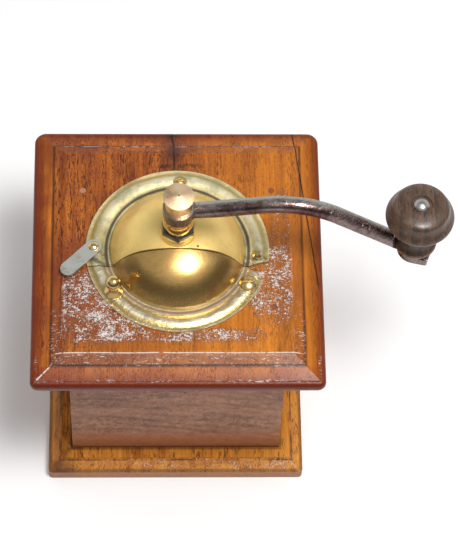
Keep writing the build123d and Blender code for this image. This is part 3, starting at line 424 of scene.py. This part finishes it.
def baseBoardWood():
    look = baseLook
    wood = board("baseWood", look)
    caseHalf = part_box("case_front")[1].x
    x, y, z = wood.x, wood.y, wood.z
    reach = abs(x).larger(abs(y))
    shade = wood.shade
    left = x.rise(-0.045, -0.060)
    stain = wood.cloud((70, 40, 70), 4.0, 0.65, (2, 2, 2)).rise(0.45, 0.62)
    shade = shade.tint(left * stain * 0.75, look["stainShade"])
    # painted contact shadow, with some dirt, where the case stands, heavier on the shaded left; and a
    # dark line along the edge of the ledge
    darkening = reach.band(caseHalf + 0.0003, 0.0008, 0.0012)
    shade = shade.tint(darkening * (0.55 + left * 0.35), look["dirtAndShadowShade"])
    ledge = reach.band(look["ledgeHalf"], 0.0003, 0.0006) * wood.cloud((80, 80, 80), 3.0).rise(0.38, 0.58)
    shade = shade.tint(ledge * 0.75, look["ledgeShade"])
    # the upright edge is bare wood, pale and dry, under a dark line
    bare = z.rise(look["edgeTop"], look["edgeTop"] - 0.0008)
    shade = shade.tint(bare * 0.75, look["bareShade"])
    darkEdge = z.band(look["edgeTop"] + 0.0002, 0.0004, 0.0006)
    shade = shade.tint(darkEdge * 0.55, look["edgeShade"])
    speck = wood.cloud((1100, 1100, 1100), 3.0, 0.75, (7, 1, 1))
    lumps = wood.cloud((110, 110, 110), 4.0, 0.6, (1, 8, 1))
    bevel = z.rise(look["edgeTop"] + 0.0004, look["edgeTop"] + 0.0008)
    bevel = bevel * z.rise(look["bevelTop"], look["bevelTop"] - 0.0006)
    whites = bevel * y.rise(-0.050, -0.060) * x.rise(-0.045, 0.0)
    whites = whites * (speck + lumps * 0.35).rise(0.74, 0.84)
    shade = shade.tint(whites * 0.8, look["residueShade"])
    gloss = (wood.tone * 0.25 + wood.streaks * 0.15 + 0.08).larger(bare * 0.75).larger(whites * 0.7)
    height = wood.streaks * 0.25 + wood.fine * 0.2 - wood.pores * 0.5 + whites * 0.4
    return wood.close(
        {"Coat Weight": 0.12, "Coat Roughness": 0.12, "IOR": 1.45, "Specular IOR Level": 0.25},
        Base_Color=shade,
        Roughness=gloss,
        Normal=wood.bump(height, look["bumpDepth"]),
    )


caseLook = {
    "heart": (0.0, 0.04, 0.03),
    "rings": 22.0,
    "wander": 3.0,
    "figure": 0.06,
    "along": 0.075,
    "dash": 0.10,
    "tones": (
        (0.28, (0.120, 0.042, 0.020)),
        (0.42, (0.280, 0.125, 0.072)),
        (0.56, (0.440, 0.215, 0.130)),
        (0.74, (0.600, 0.320, 0.205)),
    ),
    "pore": (0.075, 0.034, 0.024),
    "poreFrom": 0.55,
    "poreDepth": 0.75,
    "slant": 0.22,
    "bow": 2.2,
    "bands": 900.0,
    "bandShade": (0.100, 0.036, 0.020),
    "broadShade": (0.620, 0.300, 0.170),
    "warmShade": (0.330, 0.095, 0.014),
    "darkenedShade": (0.045, 0.020, 0.010),
    "bumpDepth": 0.00018,
}


def caseWood(name, grain, seed):
    # Dry wood with dark bands that slant and bow across the face, warmer towards the base, and painted
    # contact shadow along its foot
    wood = board(name, {**caseLook, "grain": grain, "seed": seed})
    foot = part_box("case_front")[0].z
    along = wood.y if grain == "y" else wood.x
    sweep = wood.z - foot + along * caseLook["slant"] + along * along * caseLook["bow"]
    sweep = sweep + (wood.cloud((18, 18, 30), 2.0, 0.5, (seed, 2, 2)) - 0.5) * 0.010
    bands = (sweep * caseLook["bands"]).sine() * 0.5 + 0.5
    bands = bands * wood.cloud((40, 40, 160), 3.0, 0.6, (seed, 6, 6)).rise(0.40, 0.62)
    shade = wood.shade.tint(bands * 0.55, caseLook["bandShade"])
    broad = wood.cloud((14, 14, 42), 2.0, 0.5, (seed, 4, 1)).rise(0.40, 0.65)
    shade = shade.tint(broad * 0.35, caseLook["broadShade"])
    warm = wood.z.rise(foot + 0.026, foot + 0.006)
    shade = shade.tint(warm * 0.75, caseLook["warmShade"])
    # painted contact shadow along the foot, where the case meets the base
    darkened = wood.z.rise(foot + 0.0030, foot + 0.0004)
    shade = shade.tint(darkened * 0.6, caseLook["darkenedShade"])
    height = wood.streaks * 0.3 + wood.fine * 0.3 - wood.pores * 0.8
    return wood.close(
        {"IOR": 1.45},
        Base_Color=shade,
        Roughness=wood.tone * 0.2 + 0.50,
        Normal=wood.bump(height, caseLook["bumpDepth"]),
    )


drawerLook = {
    "heart": (0.03, 0.0, 0.05),
    "rings": 30.0,
    "wander": 2.0,
    "figure": 0.25,
    "tones": (
        (0.28, (0.330, 0.200, 0.110)),
        (0.50, (0.480, 0.320, 0.190)),
        (0.80, (0.600, 0.430, 0.280)),
    ),
    "pore": (0.200, 0.115, 0.060),
    "poreFrom": 0.60,
    "poreDepth": 0.5,
    "dustShade": (0.150, 0.085, 0.045),
    "bumpDepth": 0.00015,
}


def drawerWood(name, grain, seed):
    wood = board(name, {**drawerLook, "grain": grain, "seed": seed})
    dust = wood.cloud((60, 60, 60), 4.0, 0.6, (2, 5, 1)).rise(0.45, 0.70)
    shade = wood.shade.tint(dust * 0.4, drawerLook["dustShade"])
    height = wood.streaks * 0.4 + wood.fine * 0.3 - wood.pores * 0.5
    return wood.close(
        {"IOR": 1.45},
        Base_Color=shade,
        Roughness=wood.tone * 0.2 + 0.55,
        Normal=wood.bump(height, drawerLook["bumpDepth"]),
    )


knobLook = {
    "grain": "z",
    "seed": 1.3,
    "heart": (-0.05, 0.05, 0.0),
    "rings": 60.0,
    "wander": 1.6,
    "figure": 0.22,
    "along": 0.10,
    "tones": (
        (0.30, (0.016, 0.008, 0.005)),
        (0.50, (0.048, 0.024, 0.013)),
        (0.66, (0.090, 0.044, 0.022)),
        (0.84, (0.160, 0.070, 0.030)),
    ),
    "pore": (0.006, 0.004, 0.003),
    "poreFrom": 0.56,
    "poreDepth": 0.8,
    # heights above the foot, and the radius where the heel starts to wear
    "wornRise": 0.0222,
    "heelRise": 0.0022,
    "heelRadius": 0.0086,
    "dustShade": (0.130, 0.085, 0.055),
    "rubbedShade": (0.380, 0.130, 0.040),
    "scratchShade": (0.420, 0.180, 0.090),
    "bumpDepth": 0.00016,
}


def knobWood():
    look = knobLook
    wood = board("knobWood", look)
    low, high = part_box("handle_knob")
    middle = (low + high) / 2
    out = wood.radius(middle.x, middle.y)
    dusty = wood.cloud((140, 140, 140), 4.0, 0.6, (3, 1, 9)).rise(0.42, 0.70)
    shade = wood.shade.tint(dusty * 0.30, look["dustShade"])
    # the widest edge is rubbed back to orange wood, and so is the edge of the foot
    ragged = wood.cloud((260, 260, 260), 4.0, 0.6, (1, 6, 4))
    worn = (wood.z + (ragged - 0.5) * 0.003).band(low.z + look["wornRise"], 0.0004, 0.0012)
    worn = worn * ragged.rise(0.40, 0.58)
    heel = (wood.z + (ragged - 0.5) * 0.002).band(low.z + look["heelRise"], 0.0006, 0.0010)
    heel = heel * out.rise(look["heelRadius"], look["heelRadius"] + 0.0010)
    lightened = (worn * 0.75).larger(heel * 0.6 * ragged.rise(0.38, 0.55))
    shade = shade.tint(lightened, look["rubbedShade"])
    # long thin scratches round the crown
    scratchA = wood.cloud((55, 420, 900), 2.0, 0.5, (2, 2, 2), (0.3, 0.2, 0.5)).band(0.50, 0.002, 0.006)
    scratchB = wood.cloud((380, 70, 700), 2.0, 0.5, (6, 3, 1), (0.1, 0.4, -0.4)).band(0.52, 0.002, 0.005)
    patchy = wood.cloud((90, 90, 90), 2.0, 0.5, (8, 8, 1)).rise(0.50, 0.60)
    scratches = scratchA.larger(scratchB) * patchy
    shade = shade.tint(scratches * 0.6, look["scratchShade"])
    height = wood.streaks * 0.3 + wood.fine * 0.2 - wood.pores * 0.4 - scratches * 0.5
    return wood.close(
        {"Coat Weight": 0.25, "Coat Roughness": 0.25, "IOR": 1.5},
        Base_Color=shade,
        Roughness=wood.tone * 0.25 + 0.26 + dusty * 0.12,
        Normal=wood.bump(height, look["bumpDepth"]),
    )


def metal(name, look):
    # Old metal: clean and tarnished tones in clouds, fine scratches, and small dents.
    stock = Finish(name)
    seed = look["seed"]
    clouds = stock.cloud((look["patch"],) * 3, 5.0, 0.62, (seed, 1, 2), warp=0.6)
    spots = stock.cloud((look["patch"] * 7,) * 3, 4.0, 0.7, (seed, 5, 3))
    tarnish = (clouds * 0.7 + spots * 0.3).rise(look["from"], look["to"])
    shade = clouds.ramp((0.30, look["clean"]), (0.72, look["warm"]))
    shade = shade.tint(tarnish * look["amount"], look["tarnish"])
    scratchA = stock.cloud((60, 1600, 1600), 2.0, 0.5, (seed, 3, 3), (0, 0, 0.5))
    scratchB = stock.cloud((1400, 70, 1400), 2.0, 0.5, (seed, 4, 4), (0, 0, 0.3))
    stock.scratches = scratchA * 0.5 + scratchB * 0.5
    stock.pits = stock.cloud((look["pit"],) * 3, 3.0, 0.6, (seed, 6, 6))
    stock.shade = shade
    stock.tarnish = tarnish
    stock.clouds = clouds
    stock.spots = spots
    return stock


def closeMetal(stock, shade, gloss, height, depth, metallic=1.0, **extra):
    # the shader of every metal; extra sets values that only one of them needs
    return stock.close(
        {"Coat Weight": 0.0, **extra},
        Base_Color=shade,
        Metallic=metallic,
        Roughness=gloss,
        Normal=stock.bump(height, depth),
    )


hoodLook = {
    "seed": 1.9,
    "patch": 55,
    "from": 0.46,
    "to": 0.66,
    "clean": (0.930, 0.690, 0.250),
    "warm": (0.860, 0.580, 0.180),
    "tarnish": (0.520, 0.400, 0.140),
    "amount": 0.35,
    "pit": 900,
    "paleShade": (0.700, 0.640, 0.400),
    "stainShare": 0.60,
    "greenShare": 0.55,
    "dirtAndShadowShade": (0.035, 0.020, 0.016),
    "dirtAndShadowShare": 0.85,
    "gloss": 0.32,
    "flangeGloss": 0.14,
    "dents": 0.8,
    "metallic": 0.80,
}
# the hatch is the same brass as the hood, painted darker and browner: partly tarnish, partly painted
# reflection of the dark room in front
hatchLook = {
    "seed": 4.4,
    "patch": 48,
    "from": 0.42,
    "to": 0.68,
    "clean": (0.640, 0.420, 0.150),
    "warm": (0.540, 0.320, 0.100),
    "tarnish": (0.240, 0.120, 0.045),
    "amount": 0.55,
    "pit": 900,
    "paleShade": (0.780, 0.680, 0.430),
    "stainShare": 0.35,
    "greenShare": 0.22,
    "dirtAndShadowShade": (0.160, 0.070, 0.060),
    "dirtAndShadowShare": 0.75,
    "gloss": 0.17,
    "flangeGloss": 0.08,
    "dents": 0.35,
    "metallic": 0.97,
}
flangeLook = {
    "height": 0.0026,
    "ochreRadius": 0.0420,
    "ochreShade": (0.420, 0.270, 0.050),
    "beadRadius": 0.0392,
    "paintedBeadHighlight": (0.640, 0.620, 0.500),
    "stainShade": (0.300, 0.220, 0.070),
    "greenShade": (0.330, 0.330, 0.190),
    "footRadius": 0.0343,
    "endShade": (0.090, 0.070, 0.050),
}
hoodHole = {"x": 0.0094, "y": -0.0078, "radius": 0.0005, "shade": (0.006, 0.004, 0.003)}


def domeBrass(name, look):
    # The dome is smooth and brown gold; its flange has an ochre rim, a painted highlight along the bead,
    # and a dark foot line of painted shadow with some dirt.
    stock = metal(name, look)
    flange = flangeLook
    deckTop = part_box("top_board")[1].z
    out = stock.radius()
    onFlange = stock.z.rise(deckTop + flange["height"] + 0.0004, deckTop + flange["height"] - 0.0004)
    shade = stock.shade.tint(onFlange * 0.75, look["paleShade"])
    wander = (stock.cloud((50, 50, 50), 3.0, 0.6, (2, 2, 6)) - 0.5) * 0.004
    ochre = (out + wander).band(flange["ochreRadius"], 0.0010, 0.0013) * onFlange
    shade = shade.tint(ochre * 0.70, flange["ochreShade"])
    # a painted highlight along the middle of the rounded bead, broken by mottling
    bead = (out + wander).band(flange["beadRadius"], 0.0020, 0.0016) * onFlange
    mottled = stock.cloud((300, 300, 300), 4.0, 0.7, (4, 9, 1)).rise(0.42, 0.62)
    shade = shade.tint(bead * (0.30 + mottled * 0.45), flange["paintedBeadHighlight"])
    stain = stock.cloud((42, 42, 42), 5.0, 0.68, (8, 2, 3)).rise(0.47, 0.64) * onFlange
    shade = shade.tint(stain * look["stainShare"], flange["stainShade"])
    green = stock.cloud((90, 90, 90), 4.0, 0.65, (3, 3, 3)).rise(0.44, 0.62) * onFlange
    shade = shade.tint(green * look["greenShare"], flange["greenShade"])
    # painted shadow and dark reflection with some dirt in the line round the dome's foot
    foot = (out + wander * 0.3).band(flange["footRadius"], 0.0006, 0.0010)
    foot = foot * stock.z.rise(deckTop + 0.0036, deckTop + 0.0016)
    shade = shade.tint(foot * look["dirtAndShadowShare"], look["dirtAndShadowShade"])
    if look is hoodLook:
        # dirt by the ends of the flange, and painted shade for one small hole in the dome
        ends = stock.y.rise(0.006, -0.006) * onFlange * mottled
        shade = shade.tint(ends * 0.75, flange["endShade"])
        hole = stock.radius(hoodHole["x"], hoodHole["y"])
        hole = hole.rise(hoodHole["radius"] + 0.00012, hoodHole["radius"] - 0.00010)
        shade = shade.tint(hole, hoodHole["shade"])
    gloss = stock.clouds * 0.14 + stock.spots * 0.08 + look["gloss"]
    gloss = gloss + onFlange * look["flangeGloss"] + foot * 0.3 + mottled * bead * 0.15
    dent = stock.cloud((60, 60, 60), 2.0, 0.5, (6, 1, 5))
    height = dent * look["dents"] + stock.scratches * 0.06 + stock.spots * 0.05
    height = height - onFlange * mottled * 0.12
    return closeMetal(stock, shade, gloss, height, 0.0006, look["metallic"] - foot * 0.3)


turnedLook = {
    "seed": 7.2,
    "patch": 130,
    "from": 0.50,
    "to": 0.72,
    "clean": (0.780, 0.600, 0.300),
    "warm": (0.680, 0.470, 0.190),
    "tarnish": (0.300, 0.190, 0.080),
    "amount": 0.5,
    "pit": 1200,
    "darkenedShade": (0.080, 0.055, 0.030),
    "bumpDepth": 0.00012,
}


def turnedBrass(name, changes, gloss, darkening=0.0):
    look = {**turnedLook, **changes}
    stock = metal(name, look)
    darkened = stock.pits.rise(0.50, 0.62) * darkening
    shade = stock.shade.tint(darkened, look["darkenedShade"])
    rough = stock.clouds * 0.12 + stock.tarnish * 0.15 + gloss + darkened * 0.3
    height = stock.scratches * 0.10 + stock.pits * 0.12
    return closeMetal(stock, shade, rough, height, look["bumpDepth"])


capLook = {
    **turnedLook,
    "seed": 2.2,
    "clean": (0.960, 0.720, 0.470),
    "warm": (0.900, 0.640, 0.380),
    "rings": 22000.0,
    "grooveRadius": 0.0065,
    "stainShade": (0.380, 0.230, 0.130),
    "darkShade": (0.045, 0.028, 0.020),
    "bumpDepth": 0.00010,
}


def capBrass():
    # Faced on a lathe: fine rings round the axis, and a centre punch and a groove under the head, both
    # painted dark as shade
    look = capLook
    stock = metal("capBrass", look)
    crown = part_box("cap_nut")[1].z
    out = stock.radius()
    rings = (out * look["rings"]).sine()
    # painted shade in the centre punch and the groove
    punch = out.rise(0.0007, 0.0002) * stock.z.rise(crown - 0.0015, crown - 0.0005)
    groove = stock.z.band(crown - 0.0033, 0.0009, 0.0005)
    groove = groove * out.rise(look["grooveRadius"] + 0.0003, look["grooveRadius"] - 0.0003)
    stain = stock.cloud((210, 210, 210), 4.0, 0.6, (4, 4, 4)).rise(0.52, 0.70)
    shade = stock.shade.tint(stain * 0.35, look["stainShade"])
    shade = shade.tint((punch * 0.85).larger(groove * 0.8), look["darkShade"])
    rough = stock.clouds * 0.12 + 0.24 + stain * 0.1
    height = rings * 0.06 + stock.scratches * 0.06 - punch * 1.5
    return closeMetal(stock, shade, rough, height, look["bumpDepth"], Anisotropic=0.75)


ironLook = {
    "seed": 3.3,
    "patch": 75,
    "from": 0.44,
    "to": 0.62,
    "clean": (0.270, 0.205, 0.195),
    "warm": (0.165, 0.105, 0.098),
    "tarnish": (0.070, 0.030, 0.026),
    "amount": 0.7,
    "pit": 420,
    "bareShade": (0.440, 0.450, 0.400),
    "speckShade": (0.060, 0.040, 0.036),
    "smoothTo": 0.045,
    "pittedFrom": 0.085,
    "bumpDepth": 0.00040,
}


def forgedIron():
    # Hammered bar: dark brown skin, paler grey on the top and back-facing side that is partly rubbed bare
    # metal and partly painted light, small pits
    look = ironLook
    stock = metal("forgedIron", look)
    facing = stock.start.node("TexCoord", output="Normal")
    up = stock.start.node("SeparateXYZ", None, {0: facing}, 2)
    side = stock.start.node("SeparateXYZ", None, {0: facing}, 1)
    ragged = stock.cloud((260, 260, 260), 4.0, 0.65, (1, 2, 1))
    # paler where the surface faces up or back: painted light, with bare metal rubbed by hands and work
    lightened = (up * 0.8 + side * 0.60 + (ragged - 0.5) * 0.7).rise(0.55, 0.95)
    shade = stock.shade.tint(lightened * 0.80, look["bareShade"])
    specks = stock.cloud((900, 900, 900), 3.0, 0.7, (2, 8, 8)).rise(0.56, 0.66)
    shade = shade.tint(specks * 0.5, look["speckShade"])
    pitted = stock.pits.rise(0.40, 0.62)
    gloss = 0.20 + ragged * 0.16 + specks * 0.12
    # smooth by the hub, pitted towards the handle
    rough = stock.x.rise(look["smoothTo"], look["pittedFrom"]) * 0.8 + 0.12
    blows = stock.cloud((150, 150, 150), 3.0, 0.6, (5, 5, 5))
    height = (pitted * 0.45 + blows * 0.7) * rough - specks * 0.10
    return closeMetal(stock, shade, gloss, height, look["bumpDepth"])


steelLook = {
    "seed": 6.1,
    "patch": 110,
    "from": 0.46,
    "to": 0.66,
    "clean": (0.560, 0.560, 0.530),
    "warm": (0.440, 0.440, 0.410),
    "tarnish": (0.200, 0.180, 0.150),
    "amount": 0.45,
    "pit": 700,
    "rustShade": (0.160, 0.070, 0.030),
    "bumpDepth": 0.00020,
}


def oldSteel(name, changes, gloss, rust):
    look = {**steelLook, **changes}
    stock = metal(name, look)
    rusty = stock.cloud((240, 240, 240), 5.0, 0.7, (3, 7, 1)).rise(0.56, 0.70) * rust
    shade = stock.shade.tint(rusty, look["rustShade"])
    rough = stock.clouds * 0.15 + gloss + rusty * 0.4
    height = stock.scratches * 0.16 + stock.pits * 0.25
    return closeMetal(stock, shade, rough, height, look["bumpDepth"], 1.0 - rusty * 0.7)


print("making the materials")
dress(topBoardWood(), "top_board")
dress(baseBoardWood(), "base_board")
dress(caseWood("caseFrontWood", "x", 8.1), "case_front")
dress(caseWood("caseBackWood", "x", 4.6), "case_back")
dress(caseWood("drawerFrontWood", "x", 6.2), "drawer_front")
dress(caseWood("caseSideWood", "y", 9.4), "case_left", "case_right")
dress(
    drawerWood("drawerSideWood", "y", 3.9),
    "drawer_left", "drawer_right", "drawer_guide_left", "drawer_guide_right",
)
dress(drawerWood("drawerEndWood", "x", 5.5), "drawer_back", "drawer_bottom")
dress(knobWood(), "handle_knob")
dress(domeBrass("hoodBrass", hoodLook), "hood_shell")
dress(domeBrass("hatchBrass", hatchLook), "hatch_shell")
dress(capBrass(), "cap_nut")
collarLook = {"clean": (0.740, 0.520, 0.200)}
knobBrassLook = {"clean": (0.760, 0.560, 0.240)}
pinLook = {"clean": (0.720, 0.560, 0.280)}
screwLook = {"clean": (0.560, 0.430, 0.200)}
dress(turnedBrass("collarBrass", collarLook, 0.10), "crank_collar")
dress(turnedBrass("knobBrass", knobBrassLook, 0.10), "hatch_knob", "drawer_knob")
dress(turnedBrass("pinBrass", pinLook, 0.16), "latch_rivet", "hood_right_pin")
dress(turnedBrass("screwBrass", screwLook, 0.20, 0.5), "hatch_pivot_screw", "hood_back_screw")
dress(turnedBrass("bushBrass", {}, 0.25, 0.7), "top_bearing_bush")
dress(forgedIron(), "crank_arm")
leverLook = {"clean": (0.620, 0.630, 0.580), "warm": (0.500, 0.510, 0.460)}
nutLook = {"clean": (0.160, 0.160, 0.165), "warm": (0.110, 0.100, 0.095)}
rivetLook = {"clean": (0.420, 0.400, 0.380)}
castLook = {"clean": (0.140, 0.130, 0.125), "warm": (0.095, 0.085, 0.080)}
springLook = {"clean": (0.300, 0.300, 0.310)}
dress(oldSteel("leverSteel", leverLook, 0.36, 0.05), "latch_lever")
dress(oldSteel("nutSteel", nutLook, 0.30, 0.2), "hub_hex_nut")
dress(oldSteel("rivetSteel", rivetLook, 0.24, 0.2), "handle_pin", "handle_washer")
dress(fillerWood(), "top_nails")
dress(
    oldSteel("workSteel", {}, 0.28, 0.2),
    "base_screws", "spindle", "mill_screws", "bridge_screws", "adjusting_screw", "drawer_nails",
    "drawer_knob_screw", "burr_pin", "detent_screw", "spring_washer", "lower_bridge", "step_bearing",
)
dress(oldSteel("millIron", castLook, 0.42, 0.3), "mill_funnel", "outer_burr", "inner_burr")
dress(oldSteel("springSteel", springLook, 0.24, 0.1), "spindle_spring", "detent_spring")


print("setting the stage")
stage = {
    "floorSize": 6.0,
    "floorShade": (0.93, 0.93, 0.93),
    "worldShade": (1.0, 1.0, 1.0),
    "frontCeiling": 0.60,
    "backCeiling": 0.34,
    "frontWall": 0.12,
    "backWall": 0.95,
}
bpy.ops.object.select_all(action="DESELECT")
bpy.ops.mesh.primitive_plane_add(size=stage["floorSize"], location=(0, 0, 0))
floor = bpy.context.active_object
floor.name = "floor"
paper = Finish("paper")
floor.data.materials.append(paper.close({"Base Color": (*stage["floorShade"], 1.0), "Roughness": 0.9}))

world = bpy.data.worlds.new("studio")
bpy.context.scene.world = world
world.use_nodes = True
# a white room: its ceiling is bright in front and dim behind, and its walls are brightest behind
sky = Wire(world.node_tree)
direction = sky.node("TexCoord", output="Generated")
ahead, aloft = [sky.node("SeparateXYZ", None, {0: direction}, axis) for axis in (1, 2)]
overhead = aloft.rise(0.45, 0.70)
behind = ahead.rise(-0.10, 0.30)
ceiling = stage["frontCeiling"] + behind * (stage["backCeiling"] - stage["frontCeiling"])
walls = stage["frontWall"] + behind * (stage["backWall"] - stage["frontWall"])
background = world.node_tree.nodes["Background"]
background.inputs["Color"].default_value = (*stage["worldShade"], 1.0)
glow = walls + overhead * (ceiling - walls)
world.node_tree.links.new(glow.socket, background.inputs["Strength"])


keyLight = {
    "place": (0.27, -0.27, 1.27),
    "target": (0.0, 0.0, 0.08),
    "size": 0.36,
    "power": 13.0,
}


def softbox(name, look):
    # a square area light that looks at its target
    light = bpy.data.lights.new(name, "AREA")
    light.shape = "SQUARE"
    light.size = look["size"]
    light.energy = look["power"]
    lamp = bpy.data.objects.new(name, light)
    bpy.context.scene.collection.objects.link(lamp)
    lamp.location = look["place"]
    aim = Vector(look["target"]) - Vector(look["place"])
    lamp.rotation_euler = aim.to_track_quat("-Z", "Y").to_euler()


softbox("keyLight", keyLight)

camera = {
    "target": (0.027308, 0.019340, 0.061057),
    "distance": 1.338294,
    "pitch": 1.0746333,
    "yaw": 0.0681847,
    "roll": 0.0599964,
    "focal": 2648.374,
    "frameHeight": 552,
    "sensor": 36.0,
}


def placeCamera(look):
    # looks down at the mill from the hatch's side; yaw and roll are small
    forward = Vector(
        (
            sin(look["yaw"]) * cos(look["pitch"]),
            cos(look["yaw"]) * cos(look["pitch"]),
            -sin(look["pitch"]),
        )
    )
    across = forward.cross(Vector((0, 0, 1))).normalized()
    upward = across.cross(forward)
    right = across * cos(look["roll"]) + upward * sin(look["roll"])
    top = upward * cos(look["roll"]) - across * sin(look["roll"])
    lens = bpy.data.cameras.new("camera")
    lens.sensor_width = look["sensor"]
    lens.lens = look["focal"] * look["sensor"] / look["frameHeight"]
    holder = bpy.data.objects.new("camera", lens)
    bpy.context.scene.collection.objects.link(holder)
    turn = Matrix((right, top, -forward)).transposed().to_4x4()
    holder.matrix_world = Matrix.Translation(Vector(look["target"]) - forward * look["distance"]) @ turn
    bpy.context.scene.camera = holder


placeCamera(camera)
scene = bpy.context.scene
scene.view_settings.view_transform = "Standard"
